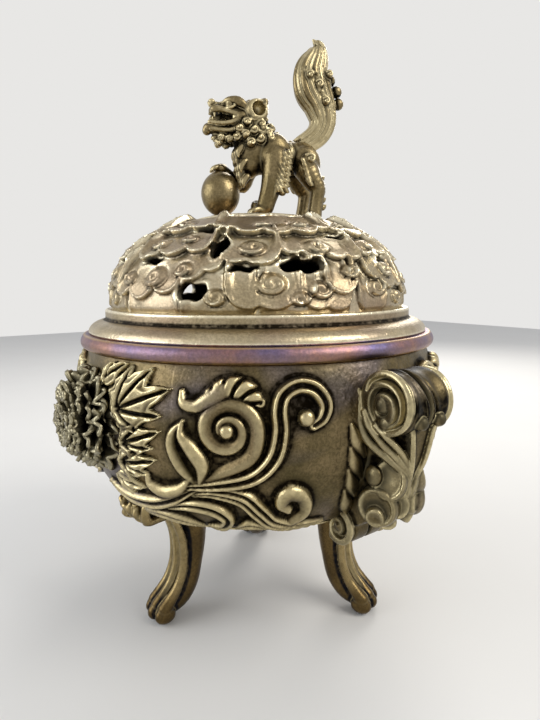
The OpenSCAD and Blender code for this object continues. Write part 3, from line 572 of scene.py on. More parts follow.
def lion_mane(wax):
    # Rows of snail curls run from between the ears over the nape to the back
    rows = [(3.4, 41.6, 1.9, 3.4, 1), (0.8, 39.4, 2.1, 5.4, 2), (-2.0, 36.6, 2.2, 6.4, 2),
            (-4.6, 33.6, 2.2, 6.6, 2), (-7.2, 30.8, 2.0, 5.6, 2)]
    for row, (u, w, size, girth, count) in enumerate(rows):
        for k in range(-count, count + 1):
            a = k * 2.0 * size / girth
            centre = (u + abs(k) * 0.9, girth * math.sin(a), w - girth * (1 - math.cos(a)))
            curl(wax, centre, (-0.5 * math.cos(a), math.sin(a) * 1.2, math.cos(a) * 0.9), size,
                 1 if (k + row) % 2 else -1)
    # Curls that frame the cheeks, in two arcs
    for side in (-1, 1):
        arc = [(3.0, 6.4, 35.4, 1.9), (5.6, 6.6, 33.4, 1.8), (8.4, 6.2, 31.4, 1.7), (0.4, 6.6, 33.0, 2.0),
               (3.2, 7.0, 31.0, 1.9), (6.2, 6.6, 29.2, 1.8), (9.2, 5.2, 28.6, 1.7), (-2.2, 6.6, 30.2, 2.0),
               (0.8, 7.0, 28.0, 2.0), (4.2, 6.6, 26.4, 1.9)]
        for k, (u, v, w, size) in enumerate(arc):
            curl(wax, (u, side * v, w), (0.05 * (k % 3), side, 0.12), size, side if k % 2 else -side)
    # Beard curls under the jaw, then pointed locks down the chest
    for u, v, w, size in ((16.6, 0, 28.8, 1.6), (14.0, 2.0, 28.6, 1.7), (14.0, -2.0, 28.6, 1.7),
                          (15.4, 1.2, 26.8, 1.4), (15.4, -1.2, 26.8, 1.4), (11.6, 3.4, 28.0, 1.6),
                          (11.6, -3.4, 28.0, 1.6), (12.6, 0, 26.4, 1.5)):
        curl(wax, (u, v, w), (0.8, v * 0.4, -0.3), size, 1 if v > 0 else -1)
    for row in range(5):
        for k in range(-2 + row % 2, 3 - row % 2):
            u = 8.6 - 0.35 * abs(k) - 0.45 * row
            w = 25.6 - 2.7 * row
            press_coil(wax, [[u - 0.8, k * 2.0, w, 1.25], [u + 0.6, k * 2.1, w - 2.0, 1.1],
                             [u + 0.7, k * 2.15, w - 4.0, 0.3]], 6, 0.2)


def shape_lion():
    wax = Wax((-28, -12, -4), (23, 12, 46), FINE_STEP)
    lion_trunk(wax)
    lion_legs(wax)
    # The mane and the head are drawn a little too far forward and up, so the block is slid under them
    for part, back, down in ((lion_mane, 0.6, 1.2), (lion_head, 1.8, 1.8)):
        shift = np.array([-back, 0, -down])
        wax.low = wax.low - shift
        part(wax)
        wax.low = wax.low + shift
    return cast(wax, "lion_cast", lion_place, 0.6, 1.6)


# %% [markdown]
# ## The lion's tail
# The tail rises from the rump, swings back and ends in a plume like a flame. It is a
# bundle of hair, so it is laid up as a bundle: a flat core, and round it strands
# that all follow the same middle line and keep their place in the oval section.

# %% Shape the tail and the ball
TAIL_PATH = [[-15.5, 0, 26.0, 3.4], [-19.5, 0, 27.6, 4.2], [-24.6, 0, 31.2, 4.9], [-26.9, 0, 36.2, 5.7],
             [-25.6, 0, 42.0, 6.8], [-22.8, 0, 47.8, 8.1], [-22.2, 0, 53.6, 7.2], [-24.4, 0, 59.4, 5.0],
             [-24.8, 0, 63.2, 3.0], [-22.8, 0, 65.4, 0.9]]
TAIL_FLATNESS = 0.62
TAIL_STEPS = 60
STRANDS = 17


def tail_strand(angle, depth, size, first, last):
    """One strand of the bundle, between two places on the path."""
    path = smooth_path(TAIL_PATH, TAIL_STEPS)
    out = []
    for k in range(first, last + 1):
        p = path[k]
        ahead = path[min(k + 1, TAIL_STEPS)][:3] - path[max(k - 1, 0)][:3]
        ahead /= np.linalg.norm(ahead)
        across = np.array([-ahead[2], 0, ahead[0]])
        twist = angle + 0.012 * k
        place = p[:3] + depth * p[3] * (across * math.cos(twist)
                                        + np.array([0, 1, 0]) * math.sin(twist) * TAIL_FLATNESS)
        ease = min(1.0, 0.25 + (k - first) * 0.2, 0.12 + (last - k) * 0.16)
        out.append([*place, size * p[3] * ease])
    return out


def shape_tail():
    wax = Wax((-37, -8, 18), (-10, 8, 68), FINE_STEP)
    press_coil(wax, [[*p[:3], p[3] * 0.60] for p in TAIL_PATH], 30, 0, flat=((0, 1, 0), TAIL_FLATNESS))
    for k in range(STRANDS):
        first = 0 if k % 2 else 4
        last = TAIL_STEPS - 3 * (k % 3)
        strand = tail_strand(k * math.tau / STRANDS, 0.80, 0.135 + 0.05 * (k % 2), first, last)
        wax.add(coils(strand), 0.06)
    # Locks that part from the bundle and curl, with a hollow behind each
    for side in (-1, 1):
        for u, w, size in ((-20.0, 51.4, 1.9), (-23.6, 48.4, 2.0), (-27.6, 52.2, 1.7), (-26.4, 42.6, 1.9)):
            wax.cut(ball((u + 1.4, side * 5.2, w + 2.0), 1.6), 0.4)
            wax.cut(ball((u - 1.6, side * 5.4, w - 1.6), 1.3), 0.4)
            curl(wax, (u, side * 4.5, w), (0, side, 0), size, side)
    # Three beads of curled hair down the back edge
    for u, w in ((-29.6, 51.4), (-32.4, 47.6), (-33.2, 43.2)):
        wax.add(ball((u, 0, w), 2.2), 0.2)
    return cast(wax, "tail_cast", lion_place, 0.6, 1.6)


def shape_ball():
    """The brocade ball, a little taller than it is wide."""
    centre = (BALL_LOW + BALL_HIGH) / 2 + np.array([0.4, 1.2, 0])
    half = (BALL_HIGH - BALL_LOW) / 2
    wax = Wax(centre - 9.6, centre + 9.6, 0.4)
    wax.add(egg(centre, (half[0] * 0.9, half[1] * 0.9, 8.3)))
    return cast(wax, "ball_cast", None, 0.8, 2.0)


lion = shape_lion()
tail = shape_tail()
brocade_ball = shape_ball()

# %% [markdown]
# ## Chasing a wall
# The ornament on the bowl and the clouds on the lid are reliefs, so they are drawn
# on a flat chart and then bent round the wall. A chart holds one height for each
# place. A strap is a path with a rounded section that can carry two or three
# ridges, and a volute is a strap that winds in to a round boss.

# %% The relief chart
class Chart:
    """Heights in millimetres over a flat grid; x runs along the wall and y up it."""

    def __init__(self, x_span, y_span, step):
        self.step = step
        self.xs = np.arange(x_span[0], x_span[1] + step / 2, step)
        self.ys = np.arange(y_span[0], y_span[1] + step / 2, step)
        self.x, self.y = np.meshgrid(self.xs, self.ys, indexing="ij")
        self.h = np.zeros_like(self.x)

    def window(self, low, high):
        """The part of the grid between two corners."""
        i = np.searchsorted(self.xs, [low[0], high[0]])
        j = np.searchsorted(self.ys, [low[1], high[1]])
        return slice(i[0], i[1]), slice(j[0], j[1])

    def path_values(self, path, win):
        """Distance to a path, the side it is on, and how far along the path it is."""
        x, y = self.x[win], self.y[win]
        best = np.full(x.shape, 1e9)
        side = np.zeros(x.shape)
        along = np.zeros(x.shape)
        last = len(path) - 2
        for k, (a, b) in enumerate(zip(path[:-1], path[1:])):
            dx, dy = b[0] - a[0], b[1] - a[1]
            t = ((x - a[0]) * dx + (y - a[1]) * dy) / max(dx * dx + dy * dy, 1e-9)
            t = np.clip(t, 0.0, 1.0)
            ex, ey = x - a[0] - t * dx, y - a[1] - t * dy
            d = ex * ex + ey * ey
            closer = d < best
            best[closer] = d[closer]
            side[closer] = np.sign(dx * ey - dy * ex)[closer]
            along[closer] = ((k + t) / (last + 1))[closer]
        return np.sqrt(best), side, along

    def strap(self, points, rise, ridges, depth, count=48, notch=None, slope=0.0):
        """A strap along [x, y, half width]: ridges with grooves of a depth between them.

        notch = (count, slant, depth) cuts it across, and slope makes one edge the higher.
        """
        path = smooth_path(points, count)
        half = path[:, 2]
        pad = half.max() + 1
        win = self.window(path[:, :2].min(0) - pad, path[:, :2].max(0) + pad)
        distance, side, along = self.path_values(path, win)
        width = np.interp(along, np.linspace(0, 1, len(half)), half)
        q = side * distance / np.maximum(width, 0.05)
        edge = np.sqrt(np.clip(1 - np.abs(q) ** 4, 0, 1))
        wave = 0.5 + 0.5 * np.cos(math.pi * ridges * (q + 1))
        tall = rise * np.minimum(1.0, 0.35 + width / max(half.max(), 0.1) * 0.65)
        height = tall * edge * (1 - depth * wave) * (1 - abs(slope) / 2 + slope / 2 * q)
        if notch is not None:
            number, slant, cut = notch
            phase = along * number + q * slant
            height = height - cut * np.exp(-((phase - np.round(phase)) / 0.16) ** 2) * (edge > 0)
        height = np.where(np.abs(q) < 1, height, 0)
        self.h[win] = soft_max(self.h[win], height, 0.25)

    def boss(self, x, y, radius, rise):
        pad = radius * 1.2
        win = self.window((x - pad, y - pad), (x + pad, y + pad))
        r = np.hypot(self.x[win] - x, self.y[win] - y) / radius
        self.h[win] = soft_max(self.h[win], rise * np.sqrt(np.clip(1 - r ** 2.6, 0, 1)), 0.2)

    def volute(self, x, y, radius, turns, start, turn, rise, width, lead=()):
        """A strap that comes in along lead, winds in, and ends in a boss."""
        points = [list(p) for p in lead]
        steps = int(turns * 10)
        for k in range(steps + 1):
            a = math.radians(start) + turn * math.tau * turns * k / steps
            shrink = 1 - 0.80 * k / steps
            points.append([x + radius * shrink * math.cos(a), y + radius * shrink * math.sin(a),
                           width * (0.50 + 0.50 * shrink)])
        self.strap(points, rise, 1, 0.30, count=len(points) * 7, slope=-0.62 * turn)
        self.boss(x, y, width * 0.80, rise * 0.95)

    def blurred(self, reach):
        """Heights smoothed over a reach in millimetres."""
        n = max(1, int(round(reach / self.step)))
        kernel = np.exp(-0.5 * (np.arange(-2 * n, 2 * n + 1) / n) ** 2)
        kernel /= kernel.sum()
        out = self.h
        for axis in (0, 1):
            first, last = (np.take(out, [end] * 2 * n, axis) for end in (0, -1))
            wide = np.concatenate([first, out, last], axis)
            out = sum(w * np.take(wide, range(k, k + out.shape[axis]), axis) for k, w in enumerate(kernel))
        return out

    def depth_values(self, near=0.6, far=2.0):
        """Recess and ridge values, from 0 to 1, out of how a place stands to what is round it."""
        recess = np.zeros_like(self.h)
        ridge = np.zeros_like(self.h)
        for reach in (near, far):
            level = (self.h - self.blurred(reach)) / reach
            ridge += np.clip(level * 1.6, 0, 1) * 0.6
            recess += np.clip(-level * 1.6, 0, 1) * 0.6
        return np.clip(recess, 0, 1), np.clip(ridge, 0, 1)


def rough(shape, cell, seed):
    """Smooth random bumps from -1 to 1, as long as cell grid steps each."""
    rng = np.random.default_rng(seed)
    coarse = rng.uniform(-1, 1, (shape[0] // cell + 3, shape[1] // cell + 3))
    u, v = np.arange(shape[0]) / cell, np.arange(shape[1]) / cell
    i, j = u.astype(int), v.astype(int)
    fu = ((u - i) ** 2 * (3 - 2 * (u - i)))[:, None]
    fv = ((v - j) ** 2 * (3 - 2 * (v - j)))[None, :]
    rows = coarse[i] * (1 - fu) + coarse[i + 1] * fu
    return rows[:, j] * (1 - fv) + rows[:, j + 1] * fv


# %% [markdown]
# ## The bowl's outline
# The bowl was turned as a wax before it was carved. Its outline is two curves that
# meet at the widest place, and every relief stands out along the outline's own
# slope, so a strap near the foot leans down and one near the mouth leans in.

# %% The bowl's outline
BASE_R = BOWL_R - 12.5
SHOULDER_R = BOWL_R - 3.0
BELLY_Z = BASE_Z + 36.0


def bezier(points, count):
    t = np.linspace(0, 1, count)[:, None]
    p = np.array(points, float)
    return (1 - t) ** 3 * p[0] + 3 * t * (1 - t) ** 2 * p[1] + 3 * t * t * (1 - t) * p[2] + t ** 3 * p[3]


def bowl_wall(foot, knee, inset, top, steps):
    """The wall's two curves from a foot to the shoulder, set in from the bowl's outside."""
    wide, shoulder = BOWL_R - inset, SHOULDER_R - inset
    lower = bezier([foot, knee, [wide, BELLY_Z - 17], [wide, BELLY_Z]], 3 * steps)
    upper = bezier([[wide, BELLY_Z], [wide, BELLY_Z + 7], [shoulder + 1.8, SHOULDER_Z - 5], [shoulder, top]],
                   2 * steps)
    return np.vstack([lower, upper[1:]])


OUTLINE = bowl_wall([BASE_R, BASE_Z + 1.6], [BASE_R + 7, BASE_Z + 6], 0, SHOULDER_Z, 20)


def wall_radius(z):
    return np.interp(z, OUTLINE[:, 1], OUTLINE[:, 0])


def wall_points(azimuth, z, height):
    """Points on the bowl's wall, stood out by a height along its slope."""
    r = wall_radius(z)
    slope = (wall_radius(z + 0.3) - wall_radius(z - 0.3)) / 0.6
    size = np.sqrt(1 + slope * slope)
    out, up = height / size, -height * slope / size
    a = np.radians(azimuth)
    return np.stack([(r + out) * np.sin(a), -(r + out) * np.cos(a), z + up], -1)


# %% [markdown]
# ## The scrollwork
# One quarter of the bowl is drawn and used four times, mirrored for its neighbours,
# as the foundry would press one carved stamp four times into the wax. Places are
# given as degrees round from the peony and millimetres above the bowl's underside.

# %% Draw one quarter of the scrollwork
ARC = BOWL_R * math.pi / 180


def at(azimuth, up, half=None):
    """A chart point from degrees round and millimetres up, with a half width if it is on a strap."""
    return [(azimuth - 45) * ARC, up] + ([] if half is None else [half])


def draw_scrollwork():
    chart = Chart((-45 * ARC, 45 * ARC), (1.8, SHOULDER_Z - BASE_Z), 0.33)
    # The tall strap that rises from the knot, crosses over and hooks round a boss
    chart.strap([at(38.5, 18.6, 1.2), at(47, 20.2, 2.2), at(55.5, 22.8, 2.8), at(60.4, 28.6, 3.1),
                 at(62.0, 36, 3.0), at(61.8, 42, 2.9), at(63, 46.2, 2.8), at(66.6, 48.4, 2.8),
                 at(70.6, 47.2, 2.8), at(73.0, 43.2, 2.7), at(72.2, 39.4, 2.3), at(70, 37.4, 1.8)],
                3.4, 2, 0.5)
    chart.boss(*at(68.2, 39.6), 2.6, 3.4)
    # The large volute, a broad band with a sharp outer edge that winds in to a comma
    chart.volute(*at(49.4, 36.2), 8.4, 1.55, -22, 1, 3.4, 2.9,
                 [at(38.5, 19.8, 1.0), at(45, 22.4, 1.8), at(51.0, 25.6, 2.3), at(54.8, 28.8, 2.7)])
    # The curled leaf over the volute: a smooth crescent, then plump lobes along its crest
    chart.strap([at(38.0, 46.8, 0.8), at(38.7, 43.6, 1.7), at(41.8, 42.8, 2.0), at(45.4, 45.0, 2.5),
                 at(48.6, 47.2, 2.6)], 3.1, 1, 0.15)
    chart.strap([at(45.6, 46.2, 2.2), at(48.4, 47.8, 3.0), at(51.6, 48.2, 3.3), at(54.8, 46.9, 3.0),
                 at(57.4, 44.2, 1.6)], 3.3, 1, 0.12, notch=(4, -0.42, 1.7))
    # The split leaf at the volute's left: two blades with a hollow between
    chart.strap([at(41.4, 19.6, 1.0), at(37.4, 24.4, 1.9), at(35.2, 30.6, 1.9), at(36.0, 35.0, 1.7),
                 at(38.6, 38.4, 0.5)], 3.0, 1, 0.3, slope=0.5)
    chart.strap([at(42.0, 20.0, 1.0), at(43.0, 25.6, 2.4), at(40.6, 30.6, 2.5), at(38.0, 34.4, 1.6),
                 at(38.2, 38.6, 0.4)], 3.4, 1, 0.25)
    # The left blade's root runs on into a crescent hook
    chart.strap([at(39.6, 21.6, 1.0), at(36.2, 17.6, 1.9), at(31.4, 15.8, 2.3), at(27.2, 17.4, 1.8),
                 at(26.2, 20.4, 0.7)], 3.0, 1, 0.25)
    # Long leaves that run down from the knot
    chart.strap([at(40.5, 18.0, 1.0), at(33, 13.4, 2.3), at(25, 10.6, 2.7), at(15, 10.2, 2.4),
                 at(6, 12.4, 0.9)], 2.8, 2, 0.45)
    chart.strap([at(38.5, 16, 0.8), at(45.5, 17.6, 2.2), at(52.6, 16.2, 3.1), at(57.0, 11.2, 3.3),
                 at(61, 6.6, 2.8), at(68, 4.4, 1.8), at(76, 4.6, 0.8)], 3.2, 3, 0.5)
    chart.strap([at(30, 9.6, 0.8), at(37.5, 12.2, 2.2), at(44.6, 11.8, 2.8), at(48.2, 8.2, 2.7),
                 at(45.8, 4.2, 1.8), at(41, 3.2, 0.6)], 3.0, 2, 0.5)
    chart.strap([at(17, 4.2, 0.6), at(26, 6.4, 2.1), at(34, 5.4, 2.1), at(39, 3.0, 0.7)], 2.5, 2, 0.5)
    chart.strap([at(49.6, 3.0, 0.6), at(54, 5.8, 1.9), at(60, 2.9, 0.6)], 2.3, 2, 0.5)
    # The fat bud at the foot, with its hooked stem
    chart.strap([at(60.5, 4.4, 0.8), at(66.0, 6.6, 1.6), at(69.2, 10.4, 2.2), at(68.2, 15.4, 2.6),
                 at(64.6, 17.0, 2.9), at(62.8, 14.2, 2.6), at(64.6, 11.6, 1.7)], 3.5, 1, 0.2, slope=-0.3)
    # Small dark leaves beside the handle
    for low, high in ((5, 15), (12, 22), (19, 29), (26, 36)):
        chart.strap([at(85.0, low, 1.0), at(82.4, (low + high) / 2, 2.4), at(80.6, high, 0.8)], 1.7, 1, 0.2,
                    slope=0.3)
    return chart


def finish_ground(chart):
    """A cast ground under the relief: soft waves all over, and punch marks by the handle."""
    shape = chart.h.shape
    ground = 0.06 * rough(shape, 26, 3) + 0.05 * rough(shape, 9, 4)
    punched = np.clip((chart.x - 27 * ARC) / (6 * ARC), 0, 1) * 0.06 * rough(shape, 3, 5)
    cover = np.clip(1 - chart.h / 0.6, 0.25, 1)
    chart.h = chart.h + (ground + punched) * cover + 0.28


def bend_quarter(name, chart, centre, mirrored):
    """Lays the chart round one quarter of the bowl."""
    azimuth = centre + (-1 if mirrored else 1) * chart.x / ARC
    points = wall_points(azimuth, BASE_Z + chart.y, chart.h).reshape(-1, 3)
    faces = grid_quads(*chart.h.shape)
    recess, ridge = chart.depth_values()
    return make_mesh(name, points, faces[:, ::-1] if mirrored else faces, recess.ravel(), ridge.ravel())


scroll_chart = draw_scrollwork()
finish_ground(scroll_chart)
quarters = {
    "scroll_front_right": bend_quarter("scrollwork_front_right", scroll_chart, 45, False),
    "scroll_front_left": bend_quarter("scrollwork_front_left", scroll_chart, -45, True),
    "scroll_back_right": bend_quarter("scrollwork_back_right", scroll_chart, 135, True),
    "scroll_back_left": bend_quarter("scrollwork_back_left", scroll_chart, -135, False),
}
print("scrollwork:", len(quarters), "quarters of", scroll_chart.h.size, "points")

# %% [markdown]
# ## The pierced dome
# The dome's clouds lie over each other like scales. Each cloud is a few round lobes
# joined on a chart. It stands highest at its scalloped edge, where it steps down
# onto the cloud below, and it carries a comma-shaped curl. The drawing covers a
# third of the lid and is used three times, and the vents are cut between clouds.

# %% Draw a third of the clouds
DOME_R = FLANGE_HIGH[0] - 9.0
DOME_H = CROWN_Z - 1.6 - DOME_Z
DOME_POWER = 2.35
DOME_WALL = 2.6
DOME_SEAT = 2.4
CHART_R = 50.0
REPEATS = (-120, 0, 120)
PLATE_REACH = 9.0
PLATE_LIP = 0.55
DOME_ARC = CHART_R * math.pi / 180
dome_t = np.linspace(0, math.pi / 2, 400)
dome_r_of_t = DOME_R * np.cos(dome_t) ** (2 / DOME_POWER)
dome_z_of_t = DOME_H * np.sin(dome_t) ** (2 / DOME_POWER)
dome_s_of_t = np.concatenate([[0], np.cumsum(np.hypot(np.diff(dome_r_of_t), np.diff(dome_z_of_t)))])


def dome_radius(s):
    """The dome's radius at a distance s up its skin from the foot."""
    return np.interp(s, dome_s_of_t, dome_r_of_t)


class CloudChart(Chart):
    """The same chart, with a second drawing of how far each place is from an opening."""

    def __init__(self, *args):
        super().__init__(*args)
        self.open = np.full_like(self.h, 9.0)

    def lobes(self, parts):
        """Distance to the union of lobes [azimuth, up, radius] that run on up the skin."""
        best = np.full_like(self.h, 99.0)
        for azimuth, up, radius in parts:
            wide = float(dome_radius(up)) / CHART_R
            for shift in REPEATS:
                dx = (self.x - (azimuth + shift) * DOME_ARC) * wide
                dy = self.y - np.clip(self.y, up, up + PLATE_REACH)
                best = soft_min(best, np.hypot(dx, dy) - radius, 0.5)
        return best

    def cloud(self, parts, rise):
        """A smooth plate like a fish scale: highest at its scalloped edge, lost under the row above."""
        inside = -self.lobes(parts)
        covered = inside > 0
        first = np.where(covered.any(1), covered.argmax(1), len(self.ys) - 1)
        edge = self.ys[first]
        kernel = np.hanning(21)
        kernel /= kernel.sum()
        smooth = np.convolve(np.pad(edge, 10, mode="edge"), kernel, "valid")
        above = np.clip(self.y - smooth[:, None], 0, 99)
        fade = np.clip(1.45 - above / PLATE_REACH, 0, 1)
        face = rise * (0.30 + 0.70 * np.exp(-above / 7.0))
        lip = PLATE_LIP * np.exp(-((inside - 0.6) / 0.45) ** 2)
        height = (face + lip) * fade * np.clip(inside / 0.3 + 0.5, 0, 1)
        self.h = np.maximum(self.h, np.where(inside > -0.2, height, 0))

    def curl(self, azimuth, up, size, turn, start):
        """A comma: a low oval swelling with a groove round it, and a ridge that winds in on it."""
        for shift in REPEATS:
            wide = float(dome_radius(up)) / CHART_R
            x = (azimuth + shift) * DOME_ARC
            if x < self.xs[0] - 8 or x > self.xs[-1] + 8:
                continue
            dx, dy = (self.x - x) * wide, (self.y - up) / 0.76
            r = np.hypot(dx, dy) / size
            self.h -= 0.5 * np.exp(-((r - 1.06) / 0.13) ** 2)
            self.h += 0.5 * np.sqrt(np.clip(1 - (r / 0.96) ** 3, 0, 1))
            points = []
            for k in range(12):
                a = math.radians(start) + turn * k * 0.55
                reach = size * (0.92 - 0.066 * k)
                points.append([x + reach * math.cos(a) / wide, up + reach * math.sin(a) * 0.76,
                               size * (0.15 + 0.008 * k)])
            self.ridge(points, 0.85)

    def ridge(self, points, rise):
        path = smooth_path(points, 30)
        pad = path[:, 2].max() + 1
        win = self.window(path[:, :2].min(0) - pad, path[:, :2].max(0) + pad)
        if self.h[win].size == 0:
            return
        distance, _, along = self.path_values(path, win)
        width = np.interp(along, np.linspace(0, 1, len(path)), path[:, 2])
        q = distance / np.maximum(width, 0.05)
        self.h[win] += rise * np.sqrt(np.clip(1 - q ** 2, 0, 1))

    def vent(self, azimuth, up, width, height, slant):
        """An opening with pointed ends."""
        for shift in REPEATS:
            wide = float(dome_radius(up)) / CHART_R
            dx = (self.x - (azimuth + shift) * DOME_ARC) * wide
            dy = self.y - up
            a = math.radians(slant)
            u, v = dx * math.cos(a) + dy * math.sin(a), -dx * math.sin(a) + dy * math.cos(a)
            u, v = np.abs(u) / (width / 2), np.abs(v + 0.5 * np.sin(u * 0.9)) / (height / 2)
            self.open = np.minimum(self.open, ((u ** 2.2 + v ** 2.2) ** (1 / 2.2) - 1) * height / 2)


# The three kinds of thing on the drawing, as degrees round, millimetres up the skin, and size
CLOUDS = [
    ([(17, 0.5, 8.5), (26, 1, 5.5)], 0.8), ([(66, 0, 8.0), (79, 0, 8.5)], 0.7),
    ([(112, 2, 7.5), (120, 1, 6)], 0.8),
    ([(41, 2, 8.5), (50, 4, 6.5)], 1.1), ([(99, 5.5, 7.5)], 1.1), ([(83, 5.5, 5.2), (76, 7, 6.0)], 1.3),
    ([(54, 8.5, 7.0), (62, 9, 7.8), (69, 8.6, 6.0)], 1.7), ([(85, 11.5, 6.2)], 1.7),
    ([(4, 10.5, 5.5), (15, 10.5, 6.5), (26, 12, 6.2), (35, 14.5, 4.8), (42, 16, 3.6)], 1.8),
    ([(101, 15, 4.8), (109, 13, 6.0), (117, 12.5, 5.0)], 1.8),
    ([(13, 22, 5.2), (24, 23.5, 5.2), (35, 24, 4.8)], 2.1), ([(50, 20, 5.0), (58, 20.5, 6.2)], 2.2),
    ([(69, 22.4, 4.4), (77, 22.0, 5.0), (86, 21.5, 5.0), (93, 20, 3.6)], 2.2),
    ([(101, 23, 4.8), (110, 22, 5.2)], 2.1),
    ([(43, 34, 4.4), (54, 32.5, 5.0), (66, 32, 5.0), (78, 32.5, 5.0), (88, 34.5, 4.0)], 2.4),
    ([(97, 34, 4.4), (108, 33, 5.0), (119, 34, 4.4)], 2.2),
    ([(6, 34, 4.4), (18, 34.5, 5.0), (30, 35.5, 4.6)], 2.2),
]
CLOUD_CURLS = [
    (21, 11.4, 4.6, 1, 200), (32, 13.6, 3.3, 1, 200), (44, 5.0, 3.7, 1, 180), (61.5, 9.0, 4.8, 1, 190),
    (77, 7.0, 4.0, -1, 0), (55.5, 21.4, 4.5, 1, 190), (79, 21.6, 4.2, -1, -10), (101, 7.6, 4.2, -1, 20),
    (110, 14, 4.2, 1, 180), (16, 24.0, 3.7, 1, 180), (29, 26.0, 3.3, -1, 0), (106, 23.8, 3.9, -1, 20),
    (7, 11.0, 3.4, -1, 0), (60, 34.6, 3.4, 1, 190), (78, 35.0, 3.2, -1, 0), (104, 36.0, 3.4, 1, 180),
    (16, 37.0, 3.4, -1, 0), (116, 4.6, 3.8, 1, 180), (70, 4.4, 3.0, -1, 0), (89, 12.6, 3.2, 1, 180),
]
VENTS = [
    (36.0, 6.6, 9.6, 5.2, 10), (43.6, 21.4, 5.2, 8.6, -24), (71.8, 14.6, 13.5, 4.6, -2),
    (52.5, 13.6, 10, 1.5, 6),
    (16.5, 17.0, 8.0, 2.2, 6), (35.0, 31.0, 9.0, 2.2, -4), (112, 18.0, 9.5, 3.2, 6), (92, 27.4, 6.5, 2.2, 4),
]


def draw_clouds():
    chart = CloudChart((-2 * DOME_ARC, 122 * DOME_ARC), (0, dome_s_of_t[-1]), 0.36)
    for parts, rise in CLOUDS:
        chart.cloud(parts, rise)
    chart.h += 2.0 * np.clip((chart.y - 36) / 8, 0, 1) * np.clip((50 - chart.y) / 8, 0, 1)
    for azimuth, up, size, turn, start in CLOUD_CURLS:
        chart.curl(azimuth, up, size, turn, start)
    for vent in VENTS:
        chart.vent(*vent)
    # Each opening has a rubbed lip
    chart.h += 0.45 * np.exp(-((chart.open - 0.5) / 0.5) ** 2)
    chart.h *= np.clip(chart.y / 1.5, 0, 1)
    chart.h += 0.05 * rough(chart.h.shape, 7, 11) + 0.08 * rough(chart.h.shape, 22, 12)
    return chart


# %% [markdown]
# ## Casting the dome
# The dome has openings, so it is made in wax rather than as a bent sheet. Each grid
# place near the shell looks up its own spot on the chart, which says how thick the
# wall is there and how far the nearest vent is. The wall comes out with round
# edges, and the inside of the lid is closed behind every cloud.

# %% Cast the dome
REACH = 4.0
BOLT_HOLE_R = 2.15
INSIDE_DARK_DEPTH = 1.4
DOME_SHARE = 0.49


def look_up(grid, values, x, y):
    """Values of a chart drawing at places x, y, blended between grid points."""
    u, v = (np.clip((place - axis[0]) / grid.step, 0, len(axis) - 1.001)
            for place, axis in ((x, grid.xs), (y, grid.ys)))
    i, j = u.astype(int), v.astype(int)
    fu, fv = u - i, v - j
    return (values[i, j] * (1 - fu) * (1 - fv) + values[i + 1, j] * fu * (1 - fv)
            + values[i, j + 1] * (1 - fu) * fv + values[i + 1, j + 1] * fu * fv)


def darken_inside(obj, is_inside):
    """Marks the skin as full recess and no ridge, which paints it the darkest tone, where a test on x, y, z
    says that it lies inside.
    """
    count = len(obj.data.vertices)
    places = np.empty(count * 3)
    obj.data.vertices.foreach_get("co", places)
    sooty = is_inside(*(places.reshape(-1, 3) / MM).T)
    for name, value in (("recess", 1.0), ("ridge", 0.0)):
        data = obj.data.attributes[name].data
        values = np.empty(count)
        data.foreach_get("value", values)
        values[sooty] = value
        data.foreach_set("value", values)


def deepen_patina_and_shade(obj, gain):
    """Strengthens the dark patina and painted shade in a casting's recesses."""
    data = obj.data.attributes["recess"].data
    values = np.empty(len(data))
    data.foreach_get("value", values)
    data.foreach_set("value", np.clip(values * gain, 0, 1))


def dome_distance(rho, z, r, h):
    """Rough distance from a point to a dome of radius r and height h."""
    out, up = rho / r, np.maximum(z, 0) / h
    k = np.maximum((out ** DOME_POWER + up ** DOME_POWER) ** (1 / DOME_POWER), 1e-3)
    g = np.hypot((out / k) ** (DOME_POWER - 1) / r, (up / k) ** (DOME_POWER - 1) / h)
    return (k - 1) / np.maximum(g, 1e-4)


def shape_dome(chart):
    size = DOME_R + 3
    wax = Wax((-size, -size, DOME_Z - DOME_SEAT), (size, size, DOME_Z + DOME_H + 3), 0.5)
    x, y, z = wax.places()
    rho = np.sqrt(x * x + y * y) + 0 * z
    up = z - DOME_Z + 0 * rho
    out = dome_distance(rho, up, DOME_R, DOME_H)
    near = np.abs(out) < REACH
    azimuth = np.degrees(np.arctan2(x + 0 * rho, -y + 0 * rho))[near] % 120.0
    t = np.arctan2((np.maximum(up[near], 0) / DOME_H) ** (DOME_POWER / 2),
                   (rho[near] / DOME_R) ** (DOME_POWER / 2))
    s = np.interp(t, dome_t, dome_s_of_t)
    relief = look_up(chart, chart.h, azimuth * DOME_ARC, s)
    opening = look_up(chart, chart.open, azimuth * DOME_ARC, s)
    skin_out = out[near] - relief
    wall = np.maximum(skin_out, -out[near] - DOME_WALL)
    wax.field[near] = soft_max(wall, -opening, 0.35)
    wax.field[~near] = REACH
    # The foot is a short upright collar in the flange's seat
    foot = np.maximum(rho - DOME_R, DOME_R - DOME_WALL - rho)
    wax.field = np.where(up < 0, np.maximum(foot, -DOME_SEAT - up), wax.field).astype(np.float32)
    wax.cut(coil((0, 0, DOME_Z), (0, 0, DOME_Z + DOME_H + 5), BOLT_HOLE_R))
    obj = cast(wax, "cloud_dome", None, 0.7, 2.0)
    # The dome's inside is painted the darkest tone.
    darken_inside(obj, lambda x, y, z: dome_distance(np.hypot(x, y), z - DOME_Z, DOME_R, DOME_H) < -INSIDE_DARK_DEPTH)
    return obj


def thin_out(obj, share):
    """Merges faces where the surface is plain, down to a share of them."""
    reducer = obj.modifiers.new("thin_out", "DECIMATE")
    reducer.ratio = share
    bpy.context.view_layer.update()
    ready = obj.evaluated_get(bpy.context.evaluated_depsgraph_get())
    mesh = bpy.data.meshes.new_from_object(ready)
    obj.modifiers.clear()
    obj.data = mesh
    print(obj.name, "thinned to", len(mesh.polygons), "faces")


cloud_chart = draw_clouds()
dome = shape_dome(cloud_chart)
thin_out(dome, DOME_SHARE)
